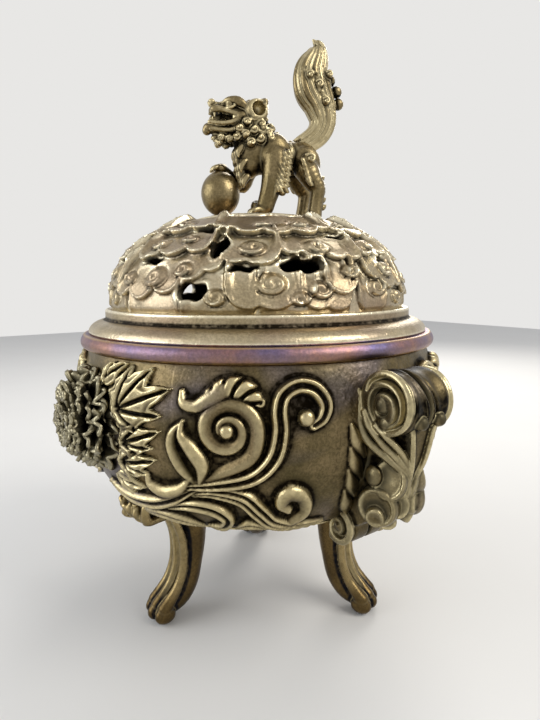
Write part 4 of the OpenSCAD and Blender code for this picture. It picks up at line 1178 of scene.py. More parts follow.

# %% [markdown]
# ## Peonies
# A peony is built petal by petal. Each petal is a thin sheet that starts at the
# heart, runs out and up, and is gathered into ruffles along its rim. The outer
# petals lie open on the leaves and the inner ones stand up, so from the side the
# flower is a stack of crimped edges with dark gaps between them. Each petal is
# painted dark away from its rim, as patina and painted shade, and pale at its rim,
# as wear and a painted highlight.

# %% Build a peony
PEONY_LOW, PEONY_HIGH = box_mm("peony_front")
FLOWER_Z = float(PEONY_LOW[2] + PEONY_HIGH[2]) / 2
FLOWER_R = float(PEONY_HIGH[2] - PEONY_LOW[2]) / 2
FLOWER_OUT = float(-PEONY_LOW[1])
FLOWER_DEPTH = 12.9
DRAWN_R = 21.5
PETAL_T = 1.25


def sheet_mesh(grids, thickness):
    """Joins grids of points (n, m, 3) into one mesh of closed sheets. Each point keeps a rim value."""
    points, faces, rims = [], [], []
    start = 0
    for grid, rim in grids:
        n, m = grid.shape[:2]
        normal = np.cross(np.gradient(grid, axis=0), np.gradient(grid, axis=1))
        normal /= np.maximum(np.linalg.norm(normal, axis=2, keepdims=True), 1e-9)
        half = thickness * (0.5 - 0.08 * rim)[..., None]
        both = np.concatenate([(grid + normal * half).reshape(-1, 3), (grid - normal * half).reshape(-1, 3)])
        top = grid_quads(n, m)
        low = top[:, ::-1] + n * m
        edge = np.concatenate([np.arange(m), np.arange(2 * m - 1, n * m, m),
                               np.arange(n * m - 2, (n - 1) * m - 1, -1), np.arange((n - 2) * m, 0, -m)])
        loop = np.append(edge, edge[0])
        side = np.stack([loop[:-1], loop[1:], loop[1:] + n * m, loop[:-1] + n * m], 1)
        points.append(both)
        faces.append(np.vstack([top, low, side]) + start)
        rims.append(np.tile(rim.ravel(), 2))
        start += 2 * n * m
    return np.vstack(points), np.vstack(faces), np.concatenate(rims)


def petal(angle, spread, r_in, r_out, low, high, cup, ruffle, seed):
    """One ruffled petal in the flower's frame: x and y across it, z out of the bowl."""
    rng = np.random.default_rng(seed)
    u = np.linspace(-1, 1, 38)[:, None]
    v = np.linspace(0, 1, 14)[None, :]
    angle = angle + rng.uniform(-0.16, 0.16)
    spread = spread * rng.uniform(0.8, 1.25)
    ruffle = ruffle * rng.uniform(0.9, 1.6)
    high = high + rng.uniform(-2.4, 0.8)
    torn = np.abs(np.sin(u * math.pi * rng.uniform(1.2, 1.9) + rng.uniform(0, 3)))
    notch = 1 - rng.uniform(0.16, 0.34) * (1 - torn) ** 1.4 * v ** 1.5
    reach = r_in + (r_out * rng.uniform(0.84, 1.0) - r_in) * v * (1 - 0.12 * u ** 2) * notch
    a = angle + u * spread * (0.5 + 0.5 * v)
    waves = 0
    for f in (4.5, 8.5, 14.5):
        waves = waves + rng.uniform(0.4, 1) * np.sin(u * f + rng.uniform(0, 6.3) + v * rng.uniform(-2, 2))
    crimp = ruffle * v ** 1.3 * waves / 2
    rise = low + (high - low) * v ** cup
    rim = (v ** 4) * np.ones_like(u)
    lean = np.clip((high - low) / max(r_out - r_in, 0.1), 0, 1.4)
    reach = reach + crimp * min(1.0, lean) * 1.1
    rise = rise + crimp * (0.6 if lean > 0.5 else 1.0) + rng.uniform(-0.9, 0.9) * u * v
    reach = np.minimum(reach, FLOWER_R - 0.3)
    rise = np.minimum(rise, FLOWER_DEPTH - 0.2 * v)
    return np.stack([reach * np.cos(a), reach * np.sin(a), rise + 0 * u], -1), rim


def build_flower():
    """All the petals, from the outer row to the heart."""
    rows = [(8, 5.0, 21.4, 1.6, 4.6, 1.2, 1.5), (8, 5.0, 19.6, 2.6, 7.2, 1.3, 1.7),
            (7, 4.5, 17.0, 3.4, 9.6, 1.4, 1.8), (7, 4.0, 14.0, 4.4, 11.2, 1.5, 1.8),
            (6, 3.2, 11.0, 5.2, 12.4, 1.6, 1.7), (5, 2.4, 8.0, 6.0, 13.0, 1.8, 1.5),
            (5, 1.4, 5.2, 6.6, 13.2, 2.0, 1.2), (4, 0.5, 2.6, 7.4, 13.2, 2.2, 0.8)]
    grids = []
    for row, (count, r_in, r_out, low, high, cup, ruffle) in enumerate(rows):
        for k in range(count):
            angle = math.tau * (k + 0.5 * (row % 2)) / count + 0.15 * row
            grids.append(petal(angle, math.pi / count * 1.35, r_in, r_out * FLOWER_R / DRAWN_R, low, high,
                               cup, ruffle, 100 * row + k))
    return sheet_mesh(grids, PETAL_T)


def place_flower(name, points, faces, rims, azimuth):
    """Sets the flower on the wall: local z runs outwards, local y up."""
    x, y, z = points[:, 0], points[:, 1], points[:, 2]
    drop = (BOWL_R - np.sqrt(np.maximum(BOWL_R ** 2 - x ** 2, 0))) * 0.75 + 0.010 * y ** 2
    out = FLOWER_OUT - FLOWER_DEPTH + z - drop
    placed = turn_points(np.stack([x, -out, FLOWER_Z + y], 1), azimuth)
    # Away from the rim a petal is marked as recess, painted dark as patina and shade; the rim is marked as
    # ridge, painted pale as wear and highlight.
    return make_mesh(name, placed, faces, np.clip(1 - rims * 1.6, 0, 1) * 0.6, rims * 0.8)


petal_points, petal_faces, petal_rims = build_flower()
peony_front = place_flower("peony_petals_front", petal_points, petal_faces, petal_rims, 0)
peony_back = place_flower("peony_petals_back", petal_points, petal_faces, petal_rims, 180)
print("peony:", len(petal_faces), "faces each")

# %% [markdown]
# ## Leaves round the peonies
# The leaves are drawn on a chart like the scrollwork. A leaf is a few pointed lobes
# that meet at the stem, with a raised rim and a chased vein down each lobe. Where
# the chart is empty the sheet stops just under the wall, so that a leaf has a
# crisp edge of its own and no seam shows.

# %% Build the leaf sprays
LEAVES = [
    ((20.5, 6.0), [(41.2, 13.9), (34.6, 19.6), (26.0, 19.8), (38.4, 5.6), (31.0, -0.6)]),
    ((22.5, -4.0), [(37.6, 1.3), (30.5, 2.6), (34.5, -4.6), (29.5, -7.5)]),
    ((20.5, -10.5), [(35.4, -8.0), (30.0, -4.8), (32.0, -13.4), (26.5, -15.5)]),
    ((17.0, -16.0), [(28.4, -18.6), (24.0, -22.4)]),
    ((13.0, 14.0), [(23.5, 20.0), (17.5, 20.2)]),
]
LEAF_CLEAR = -0.7


def draw_leaves():
    """Pointed lobes that fan out from each leaf's root, with a deep vein down every lobe."""
    chart = Chart((-40 * ARC, 40 * ARC), (-29, 20.4), 0.3)
    chart.h += LEAF_CLEAR
    for side in (-1, 1):
        for root, tips in LEAVES:
            leaf = np.full_like(chart.h, 99.0)
            vein = np.full_like(chart.h, 99.0)
            for k, tip in enumerate(tips):
                ax, ay = tip[0] - root[0], tip[1] - root[1]
                length = math.hypot(ax, ay)
                dx, dy = side * chart.x - root[0], chart.y - root[1]
                u = (dx * ax + dy * ay) / length ** 2
                v = np.abs(dy * ax - dx * ay) / length
                body = length * 0.36 * np.clip(np.minimum(u * 2.0 + 0.4, (1 - u) * 1.25), 0, 1) ** 0.95
                body = body * (1 + 0.12 * np.sin(u * 17 + 2 * k))
                leaf = np.minimum(leaf, np.where((u > -0.08) & (u < 1), v - body, 99))
                vein = np.minimum(vein, np.where((u > 0.02) & (u < 0.94), v, 99))
            inside = -leaf
            height = 1.2 + 1.3 * np.clip(inside / 2.4, 0, 1) + 0.5 * np.exp(-((inside - 0.5) / 0.4) ** 2)
            height -= 1.9 * np.exp(-(vein / 0.55) ** 2) * np.clip(inside / 0.9, 0, 1)
            height = np.where(inside > 0, height * np.clip(inside / 0.35, 0, 1), LEAF_CLEAR)
            chart.h = np.maximum(chart.h, height)
    return chart


def build_leaves(name, chart, azimuth):
    points = wall_points(azimuth + chart.x / ARC, FLOWER_Z + chart.y, chart.h + 0.3).reshape(-1, 3)
    faces = grid_quads(*chart.h.shape)
    faces = faces[(chart.h.ravel()[faces] > LEAF_CLEAR + 0.05).any(1)]
    used, index = np.unique(faces, return_inverse=True)
    recess, ridge = chart.depth_values()
    return make_mesh(name, points[used], index.reshape(-1, 4), recess.ravel()[used], ridge.ravel()[used])


leaf_chart = draw_leaves()
leaves_front = build_leaves("peony_leaf_spray_front", leaf_chart, 0)
leaves_back = build_leaves("peony_leaf_spray_back", leaf_chart, 180)
print("leaf sprays:", len(leaves_front.data.polygons), "quads each")

# %% [markdown]
# ## Handles
# Each handle is one casting, modelled in wax round its own axes: r outwards from the
# middle of the bowl, t across, z up. A thick band rolls outwards at the top and its
# cut end shows a deep spiral. Below the roll two sheaves of ridges sweep round the
# neck and meet on the front edge. Round petals lie on the belly, and a short
# roll closes the handle under the bowl.

# %% Model a handle
HANDLE_LOW, HANDLE_HIGH = box_mm("handle_right")
ROLL_R, ROLL_T = 9.2, float(HANDLE_HIGH[1] - HANDLE_LOW[1]) / 2 - 0.3
ROLL_AT = (float(HANDLE_HIGH[0]) - ROLL_R - 0.15, float(HANDLE_HIGH[2]) - ROLL_R - 0.15)
HEEL_AT, HEEL_R, HEEL_T = (BASE_R + 1.3, float(HANDLE_LOW[2]) + 6.4), 6.2, 9.2
HANDLE_TURN = 2.0
OUT = ROLL_AT[0] - 74.7
UP = ROLL_AT[1] - 91.9
# Where each round petal lies, which way it faces, its radii, thickness and rim
HANDLE_PETALS = [
    ((73.9, 5.4, 68.6), (0.45, 0.9, 0.25), (5.0, 6.4), 1.3, 0.7),
    ((71.2, 7.3, 60.2), (0.35, 1.0, -0.05), (6.3, 6.3), 1.6, 0.8),
    ((71.4, 8.3, 57.2), (0.4, 1.0, -0.3), (3.1, 3.4), 1.4, 0.5),
    ((73.0, 4.6, 55.0), (0.8, 0.6, -0.5), (2.6, 2.8), 1.0, 0.5),
    ((75.2, 3.2, 60.8), (0.9, 0.6, 0.0), (3.6, 4.4), 1.0, 0.6),
]


def band_roll(centre, radius, half, vein):
    """A rolled band lying along t, with raised edges and a chased vein over its back."""
    cr, cz = centre

    def distance(r, t, z):
        dr, dz = r - cr, z - cz
        turn = np.arctan2(dz, dr)
        skin_r = radius + 0.35 * np.exp(-((np.abs(t) - half + 0.9) / 0.8) ** 2)
        skin_r = skin_r - 0.5 * np.exp(-((np.abs(t) - half + 2.3) / 0.7) ** 2)
        if vein:
            line = -1.5 - 1.7 * np.sin((turn - 0.25) * 1.6)
            skin_r = skin_r - 1.5 * np.exp(-((t - line) / 0.62) ** 2)
            skin_r = skin_r + 0.6 * np.exp(-((t - line + 1.5) / 0.9) ** 2)
            skin_r = skin_r - 0.8 * np.exp(-((t - line - 2.6) / 0.5) ** 2) * np.clip(1.2 - turn, 0, 1)
            skin_r = skin_r + 0.25 * np.cos(t * 0.9 + turn)
        else:
            skin_r = skin_r - 1.3 * np.exp(-(t / 0.45) ** 2)
        across = np.hypot(dr, dz) - skin_r
        return soft_max(across + 0 * t, np.abs(t) - half + 0 * r, 1.2)
    return distance, np.array([cr - radius - 1, -half, cz - radius - 1]), \
        np.array([cr + radius + 1, half, cz + radius + 1])


def cut_spiral(wax, centre, side, half, grooves):
    """Chases grooves into the flat end of a roll. grooves are lists of [r, z, half width]."""
    depth = ((0, 1, 0), 2.8)
    for path in grooves:
        points = [[centre[0] + 0.90 * r, side * (half + 0.2), centre[1] + 0.90 * z, 0.9 * size]
                  for r, z, size in path]
        press_coil(wax, points, 10 * (len(points) - 1), 0.35, depth, cut=True)


def petal_disc(wax, centre, normal, radius, thick, rim):
    """A round petal: a dished disc with a raised rim that faces along normal."""
    n = np.array(normal, float)
    n /= np.linalg.norm(n)
    side = np.cross(n, (0.0, 0.0, 1.0))
    side /= np.linalg.norm(side)
    axes = np.array([n, side, np.cross(n, side)])
    c = np.array(centre, float)
    wide = np.array(radius, float)

    def distance(x, y, z):
        dx, dy, dz = x - c[0], y - c[1], z - c[2]
        p = [axes[i, 0] * dx + axes[i, 1] * dy + axes[i, 2] * dz for i in range(3)]
        k = np.sqrt((p[1] / wide[0]) ** 2 + (p[2] / wide[1]) ** 2)
        top = thick * np.clip(1.1 - 0.5 * k ** 2, 0, 2) + rim * np.exp(-((k - 0.86) / 0.11) ** 2)
        top = top - 0.9 * np.clip(1 - k / 0.75, 0, 1)
        flat = (k - 1) * wide.min()
        return soft_max(flat, np.maximum(p[0] - top, -p[0] - 3.0), 0.8)
    big = max(wide.max(), 4.0) + 1
    wax.add((distance, c - big, c + big), 0.25)


def neck_shape():
    """The wedge under the roll: broad at the wall, and narrowing to its front edge."""
    heights = [46, 50, 54, 58, 62, 66, 70, 74, 78, 82, 86]
    front = np.interp(heights, [46, 50, 53, 58, 63, 68, 74, 80, 86],
                      [58, 62, 68, 73, 75.6, 77.4, 79, 80, 80.6])
    marks = [46, 54, 60, 66, 72, 78, 86]
    wall_half = np.interp(heights, marks, [7.5, 7.5, 8.2, 8.0, 7.2, 7.6, 9.4])
    front_half = np.interp(heights, marks, [7.5, 4.0, 2.2, 1.0, 2.2, 3.4, 5.0])

    def distance(r, t, z):
        edge = np.interp(z - UP, heights, front) + OUT
        wall, tip = np.interp(z - UP, heights, wall_half), np.interp(z - UP, heights, front_half)
        share = np.clip((r - 64.0) / np.maximum(edge - 64.0, 1.0), 0, 1)
        across = np.abs(t) - (wall + (tip - wall) * share)
        ends = np.maximum(45.5 - z, z - 88.0 - UP) + 0 * r
        return soft_max(soft_max(across + 0 * z, (r - edge) + 0 * t, 2.0), ends + 0 * t, 0.5)
    return distance, np.array([50.0, -10, 44]), np.array([80.0, 10, 90])


def shape_handle():
    low = (48, -HEEL_T - 3, float(HANDLE_LOW[2]) - 1)
    high = (float(HANDLE_HIGH[0]) + 1, HEEL_T + 3, float(HANDLE_HIGH[2]) + 1)
    wax = Wax(low, high, 0.33)
    wax.add(neck_shape())
    wax.add(egg((66 + OUT, 0, 61 + UP), (9.0, 8.6, 8.5)), 2.0)
    wax.add(band_roll(ROLL_AT, ROLL_R, ROLL_T - 0.2, True), 0.4)
    wax.add(band_roll(HEEL_AT, HEEL_R, HEEL_T, False), 0.6)
    for side in (-1, 1):
        grooves = [[(-7.2, 3.6, 0.4), (-5.6, 6.4, 0.7), (-1.6, 8.0, 1.0), (3.0, 7.4, 1.1), (6.4, 4.4, 1.15),
                    (7.6, 0.4, 1.1), (6.8, -4.0, 1.0), (4.2, -6.8, 0.8), (1.0, -8.2, 0.5)],
                   [(1.6, -7.0, 0.4), (4.2, -4.6, 0.7), (5.2, -1.2, 0.9), (4.2, 2.4, 1.0), (1.2, 4.4, 1.0),
                    (-2.6, 4.2, 0.95), (-5.0, 1.8, 0.9), (-5.4, -2.0, 0.75), (-3.8, -5.2, 0.5)],
                   [(-3.0, -2.6, 0.45), (-1.6, -3.2, 0.6), (0.4, -3.0, 0.55), (1.6, -2.0, 0.35)]]
        cut_spiral(wax, ROLL_AT, side, ROLL_T, grooves)
        wax.add(egg((ROLL_AT[0] - 1.2, side * (ROLL_T - 0.6), ROLL_AT[1] - 0.4), (2.1, 1.4, 2.3)), 0.4)
        wax.add(egg((ROLL_AT[0] - 0.2, side * (ROLL_T - 0.7), ROLL_AT[1] - 5.6), (2.0, 1.2, 1.7)), 0.4)
        heel = [[(-4.4, 1.4, 0.4), (-2.8, 3.6, 0.7), (0.6, 4.2, 0.8), (3.5, 2.2, 0.85), (4.0, -1.0, 0.8),
                 (2.0, -3.5, 0.75), (-1.0, -3.4, 0.65), (-2.4, -1.2, 0.55), (-1.6, 0.9, 0.45)]]
        cut_spiral(wax, HEEL_AT, side, HEEL_T, heel)
        wax.add(ball((HEEL_AT[0] + 0.9, side * (HEEL_T - 1.0), HEEL_AT[1] + 0.2), 1.6), 0.4)
        ridges = [
            [(64.6, 9.9, 94.7, 0.9), (65.2, 10, 89, 1.1), (66.2, 10, 84.4, 1.3), (68.6, 9.0, 79.8, 1.4),
             (73.1, 6.4, 75.7, 1.4), (76.4, 3.6, 71.8, 1.3), (77.0, 1.6, 67.4, 1.2), (75.9, 0.8, 62.4, 1.1),
             (73.2, 0.5, 57, 1.0)],
            [(67.2, 10.0, 88.4, 0.8), (69.2, 10, 84.9, 1.0), (73.0, 8.4, 80.2, 1.15), (75.9, 5.6, 76.2, 1.15),
             (77.6, 2.8, 71.8, 1.0), (77.5, 1.3, 68.2, 0.8)],
            [(71.6, 9.9, 85.2, 0.7), (75.0, 8.6, 82.3, 0.95), (77.4, 5.8, 78.6, 1.0), (78.4, 3.2, 74.4, 0.9),
             (78.0, 1.4, 70.6, 0.7)]]
        for path in ridges:
            points = [(r + OUT, side * t, z + UP, size) for r, t, z, size in path]
            press_coil(wax, points, 30, 0.45)
        press_coil(wax, [(81.0 + OUT, side * 4.6, 84.6 + UP, 0.7), (80.4 + OUT, side * 3.6, 79.0 + UP, 0.8),
                         (79.6 + OUT, side * 2.6, 74.0 + UP, 0.7), (78.2 + OUT, side * 1.4, 69.4 + UP, 0.5)],
                   14, 0.4)
        wax.add(egg((70.2 + OUT, side * 8.3, 69.6 + UP), (3.0, 2.0, 3.3)), 0.3)
        for (r, t, z), normal, radius, thick, rim in HANDLE_PETALS:
            petal_disc(wax, (r + OUT, side * t, z + UP), (normal[0], side * normal[1], normal[2]), radius,
                       thick, rim)
        wax.add(ball((83.1 + OUT, side * 3.9, 87.4 + UP), 2.1), 0.5)
    wax.keep(lambda r, t, z: wall_radius(np.clip(z, BASE_Z + 0.5, SHOULDER_Z)) - 1.4 - np.hypot(r, t))
    return wax


def turn_handle(azimuth):
    """From the handle's own axes to the bowl's, with r along the azimuth."""
    return lambda points: turn_points(points, azimuth + HANDLE_TURN - 90)


handle_wax = shape_handle()
handle_right = cast(handle_wax, "handle_casting_right", turn_handle(90), 0.9, 2.6)
handle_left = cast(handle_wax, "handle_casting_left", turn_handle(-90), 0.9, 2.6)
print("handles:", len(handle_right.data.polygons), "quads each")

# %% [markdown]
# ## Legs
# One leg is modelled at the front, in the bowl's own frame, and the other two are
# the same casting turned by 120 degrees. Three ridges run from the knee down the
# shank and over the toes with deep flutes between them. An acanthus leaf with a
# wavy lip hangs over the knee, where the leg meets the bowl.

# %% Model a leg
# The toes' furthest reach from the axis, a touch beyond the CAD toes
TOE_R = 50.4
SOLE_Z = 0.02
LEG_PATH = [(34, 49, 8.0), (33.2, 44, 7.3), (32, 37, 6.1), (31.8, 28.4, 5.3), (32.8, 20.6, 4.9),
            (34.8, 12.6, 4.9), (38.2, 7.2, 4.6), (43.0, 4.4, 4.0)]
RIDGE_PATH = [(42.6, 4.4, 45.0, 0.9), (40.6, 4.7, 40.0, 1.35), (38.0, 4.5, 33.0, 1.5),
              (37.2, 4.4, 26.0, 1.55), (37.8, 4.4, 19.0, 1.65), (40.0, 4.4, 13.0, 1.85),
              (43.0, 4.4, 8.8, 2.2), (45.6, 4.4, 5.8, 2.5)]
FLUTE_PATH = [(43.8, 43.0, 0.7), (41.2, 37.0, 1.3), (39.0, 29.0, 1.5), (39.3, 21.0, 1.5), (41.6, 15.0, 1.4),
              (45.0, 10.8, 1.2), (48.8, 7.8, 1.0), (51.0, 3.0, 0.85), (50.6, 0.5, 0.85)]


def knee_leaf(wax):
    """The acanthus lip: a sheet of ribs that juts from under the bowl and ends in a wavy, rolled rim."""
    for k in range(-3, 4):
        x = 2.9 * k
        out = 57.6 - 0.42 * k * k
        high = 47.4 + 0.5 * abs(k) + (0.9 if k % 2 else -0.4)
        press_coil(wax, [(x * 0.4, -41.0, 42.4, 1.8), (x * 0.7, -47.0, 43.2, 1.9),
                         (x * 0.95, -52.4, 44.0, 1.8), (x, -out + 0.8, high - 1.6, 1.5),
                         (x, -out + 1.2, high + 0.4, 1.0)], 14, 0.6)
    rim = []
    for k in range(29):
        x = -9.6 + 19.2 * k / 28
        wave = math.sin(x * 1.15)
        rim.append((x, -57.2 + 0.055 * x * x - 0.8 * wave, 47.6 + 0.055 * x * x + 0.9 * wave, 0.95))
    press_coil(wax, rim, 56, 0.25)
    for k in range(-3, 3):
        x = 2.9 * k + 1.45
        press_coil(wax, [(x * 0.6, -45.0, 43.2, 0.5), (x * 0.85, -51.0, 42.2, 0.8), (x, -56.0, 44.6, 0.75)],
                   12, 0.3, cut=True)


def shape_leg():
    wax = Wax((-13, -63, -0.5), (13, -22, 60), 0.36)
    press_coil(wax, [(0, -r, z, size) for r, z, size in LEG_PATH], 24, 0.0, ((1, 0, 0), 1.06))
    wax.add(egg((0, -41, 46.5), (8.6, 9.6, 5.0)), 1.6)
    for k in (-1, 0, 1):
        ridge = [(k * t, -r - (0.8 if k == 0 else 0.0), z, size) for r, t, z, size in RIDGE_PATH]
        press_coil(wax, ridge, 34, 0.4)
        # A plump, rounded toe
        wax.add(egg((k * 4.45, -TOE_R + (3.9 if k == 0 else 5.0), 3.4), (2.65, 4.0, 3.3)), 0.8)
    for side in (-1, 1):
        press_coil(wax, [(side * 2.25, -r, z, size) for r, z, size in FLUTE_PATH], 36, 0.3, cut=True)
    knee_leaf(wax)
    # The sole is flat on the ground, the toes end at their reach, and the top stops in the bowl's wall
    wax.keep(lambda x, y, z: SOLE_Z - z)
    wax.keep(lambda x, y, z: np.maximum(-y - TOE_R - np.where(z > 30, 99, 0), z - BASE_Z - 1.4))

    def under_bowl(x, y, z):
        r = np.hypot(x, y)
        clear = wall_radius(np.clip(z, BASE_Z + 0.2, SHOULDER_Z)) - 0.8 - r
        return np.where(z > BASE_Z + 0.2, clear, -9.0)
    wax.keep(under_bowl)
    return wax


def turned(azimuth):
    """From the front to a leg's own place round the axis."""
    return lambda points: turn_points(points, azimuth)


leg_wax = shape_leg()
legs = {}
for leg_node, leg_azimuth in (("leg_front", 0), ("leg_right", 120), ("leg_left", 240)):
    legs[leg_node] = cast(leg_wax, leg_node + "_casting", turned(leg_azimuth), 0.9, 2.6)

# %% [markdown]
# ## Turned parts
# The bowl, the mouth ring and the lid's flange were turned on a lathe, so they are
# profiles spun round the axis. Each corner of a profile gets a small round, as a
# polished casting has, and the radius wavers by a few hundredths of a millimetre,
# because a lathe cut that is then rubbed by hand is never quite true.

# %% Spin the turned parts
SPIN_STEPS = 300
CORNER_R = 0.25


def rounded(profile):
    """The closed profile with each corner cut back and three points laid round it.

    A long side gets one more point near each end, so that a corner's mark stays at the corner.
    """
    out = []
    count = len(profile)
    for i in range(count):
        a, b, c = (np.array(profile[(i + k) % count], float) for k in (-1, 0, 1))
        back, ahead = np.linalg.norm(a - b), np.linalg.norm(c - b)
        p = b + (a - b) / max(back, 1e-6) * min(CORNER_R, back * 0.4)
        q = b + (c - b) / max(ahead, 1e-6) * min(CORNER_R, ahead * 0.4)
        if back > 2.2:
            out.append(b + (a - b) / back)
        out += [p, (p + 2 * b + q) / 4, q]
        if ahead > 2.2:
            out.append(b + (c - b) / ahead)
    return np.array(out)


def spin(name, profile, waver, seed):
    """A closed body of revolution. Outer corners are marked as ridges and inner ones as recesses."""
    p = rounded(profile)
    ahead = np.roll(p, -1, 0) - p
    behind = p - np.roll(p, 1, 0)
    bend = behind[:, 0] * ahead[:, 1] - behind[:, 1] * ahead[:, 0]
    bend /= np.maximum(np.hypot(*ahead.T) * np.hypot(*behind.T), 1e-6)
    area = np.sum(p[:, 0] * np.roll(p[:, 1], -1) - np.roll(p[:, 0], -1) * p[:, 1])
    bend *= np.sign(area)
    gap = np.hypot(p[:, None, 0] - p[None, :, 0], p[:, None, 1] - p[None, :, 1])
    spread = np.exp(-(gap / 0.4) ** 2)
    ridge = np.clip((spread * np.clip(bend, 0, 1)[None, :]).sum(1), 0, 1)
    recess = np.clip((spread * np.clip(-bend, 0, 1)[None, :]).sum(1), 0, 1)
    a = np.arange(SPIN_STEPS) * math.tau / SPIN_STEPS
    rng = np.random.default_rng(seed)
    wave = sum(rng.uniform(0.3, 1) * np.sin(k * a + rng.uniform(0, 6)) for k in (3, 5, 8, 13))
    wave = wave * waver / 2
    radius = p[None, :, 0] + np.where(p[:, 0] > 1, 1, 0)[None, :] * wave[:, None]
    points = np.stack([radius * np.sin(a)[:, None], -radius * np.cos(a)[:, None],
                       np.broadcast_to(p[None, :, 1], radius.shape)], -1).reshape(-1, 3)
    faces = grid_quads(SPIN_STEPS, len(p), True, True)
    if area < 0:
        faces = faces[:, ::-1]
    return make_mesh(name, points, faces, np.tile(recess, SPIN_STEPS), np.tile(ridge, SPIN_STEPS))


WALL = 3.2
FLOOR_T = 3.6
MOUTH_R = SHOULDER_R - 5.2
NECK_R = MOUTH_R + WALL
RING_R = SHOULDER_R + 3.0
RING_LAND = 1.4
FLANGE_R = FLANGE_HIGH[0]
STEP_R = DOME_R + 2.9
LIP_R = MOUTH_R - 0.5
LIP_WALL = 2.6
inside = bowl_wall([BASE_R - 7, BASE_Z + FLOOR_T], [BASE_R + 1.5, BASE_Z + FLOOR_T + 1], WALL,
                   SHOULDER_Z - 1, 10)
bowl_profile = np.vstack([
    [[0.01, BASE_Z], [BASE_R - 0.6, BASE_Z], [BASE_R - 0.6, BASE_Z + 1]], OUTLINE,
    [[NECK_R, SHOULDER_Z], [NECK_R, SEAT_Z - RING_LAND], [MOUTH_R, SEAT_Z - RING_LAND],
     [MOUTH_R, SHOULDER_Z + 1]],
    inside[::-1], [[0.01, BASE_Z + FLOOR_T]]])
ring_profile = np.vstack([
    [[NECK_R, SHOULDER_Z], [SHOULDER_R - 0.6, SHOULDER_Z], [SHOULDER_R - 0.6, SHOULDER_Z + 0.8],
     [RING_R - 0.9, SHOULDER_Z + 0.8]],
    bezier([[RING_R - 0.9, SHOULDER_Z + 0.8], [RING_R + 0.3, SHOULDER_Z + 1.8], [RING_R + 0.3, SEAT_Z - 1.6],
            [RING_R - 1.4, SEAT_Z]], 16)[1:],
    [[MOUTH_R, SEAT_Z], [MOUTH_R, SEAT_Z - RING_LAND], [NECK_R, SEAT_Z - RING_LAND]]])
flange_profile = np.vstack([
    [[LIP_R - LIP_WALL, SEAT_Z - 5], [LIP_R - 0.6, SEAT_Z - 5], [LIP_R, SEAT_Z - 4.4], [LIP_R, SEAT_Z],
     [FLANGE_R - 0.4, SEAT_Z], [FLANGE_R, SEAT_Z + 0.5]],
    bezier([[FLANGE_R, SEAT_Z + 0.5], [FLANGE_R, SEAT_Z + 2.4], [FLANGE_R - 2, SEAT_Z + 4.2],
            [STEP_R + 0.4, SEAT_Z + 4.8]], 16)[1:],
    [[STEP_R, SEAT_Z + 5.2], [STEP_R, DOME_Z - 1]],
    bezier([[STEP_R, DOME_Z - 1], [STEP_R, DOME_Z - 0.3], [STEP_R - 0.3, DOME_Z], [STEP_R - 1, DOME_Z]],
           5)[1:],
    [[DOME_R, DOME_Z], [DOME_R, DOME_Z - DOME_SEAT], [DOME_R - 3.0, DOME_Z - DOME_SEAT],
     [DOME_R - 3.0, SEAT_Z + 3.4], [LIP_R - LIP_WALL, SEAT_Z + 2]]])
turned_bowl = spin("turned_bowl", bowl_profile, 0.02, 1)
# The bowl's inside is painted the darkest tone.
darken_inside(turned_bowl, lambda x, y, z: (np.hypot(x, y) < wall_radius(z) - 2) & (z > BASE_Z + 1))
turned_ring = spin("turned_mouth_ring", ring_profile, 0.05, 2)
turned_flange = spin("turned_lid_flange", flange_profile, 0.06, 3)
print("turned parts:", [len(o.data.polygons) for o in (turned_bowl, turned_ring, turned_flange)])

# %% [markdown]
# ## The crown plate
# The lion stands on a thin plate with a scalloped edge that is fitted to the dome.
# It is a disc of rings: every ring keeps the scallops of the edge, fainter towards
# the bolt. The edge is rolled, and a chased line runs inside each scallop.

# %% Shape the crown plate
CROWN_R = float(CROWN_HIGH[0])
SCALLOPS = 10
LOBE_R = 6.0
CROWN_STEPS = 480


def crown_edge(a):
    """Radius of the scalloped edge at an angle from +X."""
    lobe = (a * SCALLOPS / math.tau + 0.5) % 1.0 - 0.5
    off = lobe * math.tau / SCALLOPS
    centre = CROWN_R - LOBE_R
    swell = np.sqrt(np.maximum(LOBE_R ** 2 - (centre * np.sin(off)) ** 2, 0))
    return np.maximum(centre * np.cos(off) + swell, CROWN_R - 3.4)


def shape_crown():
    a = np.arange(CROWN_STEPS) * math.tau / CROWN_STEPS
    edge = crown_edge(a)
    rows = [(0.09, -1.0), (0.09, 1.6)]
    rows += [(u, 1.6) for u in np.linspace(0.12, 0.78, 14)]
    rows += [(u, 1.6 - 0.55 * math.exp(-((u - 0.86) / 0.018) ** 2)) for u in np.linspace(0.80, 0.925, 16)]
    rows += [(0.94, 1.72), (0.96, 1.70), (0.98, 1.50), (0.993, 1.15), (1.0, 0.7), (1.0, 0.2), (0.992, -0.3)]
    points, ridge, recess = [], [], []
    for u, thick in rows:
        r = u * (edge * u ** 2 + CROWN_R * 0.95 * (1 - u ** 2))
        rise = np.interp(r, dome_r_of_t[::-1], dome_z_of_t[::-1])
        points.append(np.stack([r * np.cos(a), r * np.sin(a), DOME_Z + rise + thick], -1))
        ridge.append(np.full(CROWN_STEPS, math.exp(-((u - 0.965) / 0.03) ** 2)))
        # The chased line is marked as a recess, and so are the rows under the rolled edge, which paints shade
        # under the rim.
        line_and_underside_shade = math.exp(-((u - 0.86) / 0.02) ** 2) + (0.6 if thick < 0.5 else 0)
        recess.append(np.full(CROWN_STEPS, min(line_and_underside_shade, 1.0)))
    faces = grid_quads(len(rows), CROWN_STEPS, False, True)
    return make_mesh("crown_scallops", np.vstack(points), faces, np.concatenate(recess),
                     np.concatenate(ridge))


crown = shape_crown()
print("crown plate:", len(crown.data.polygons), "faces")
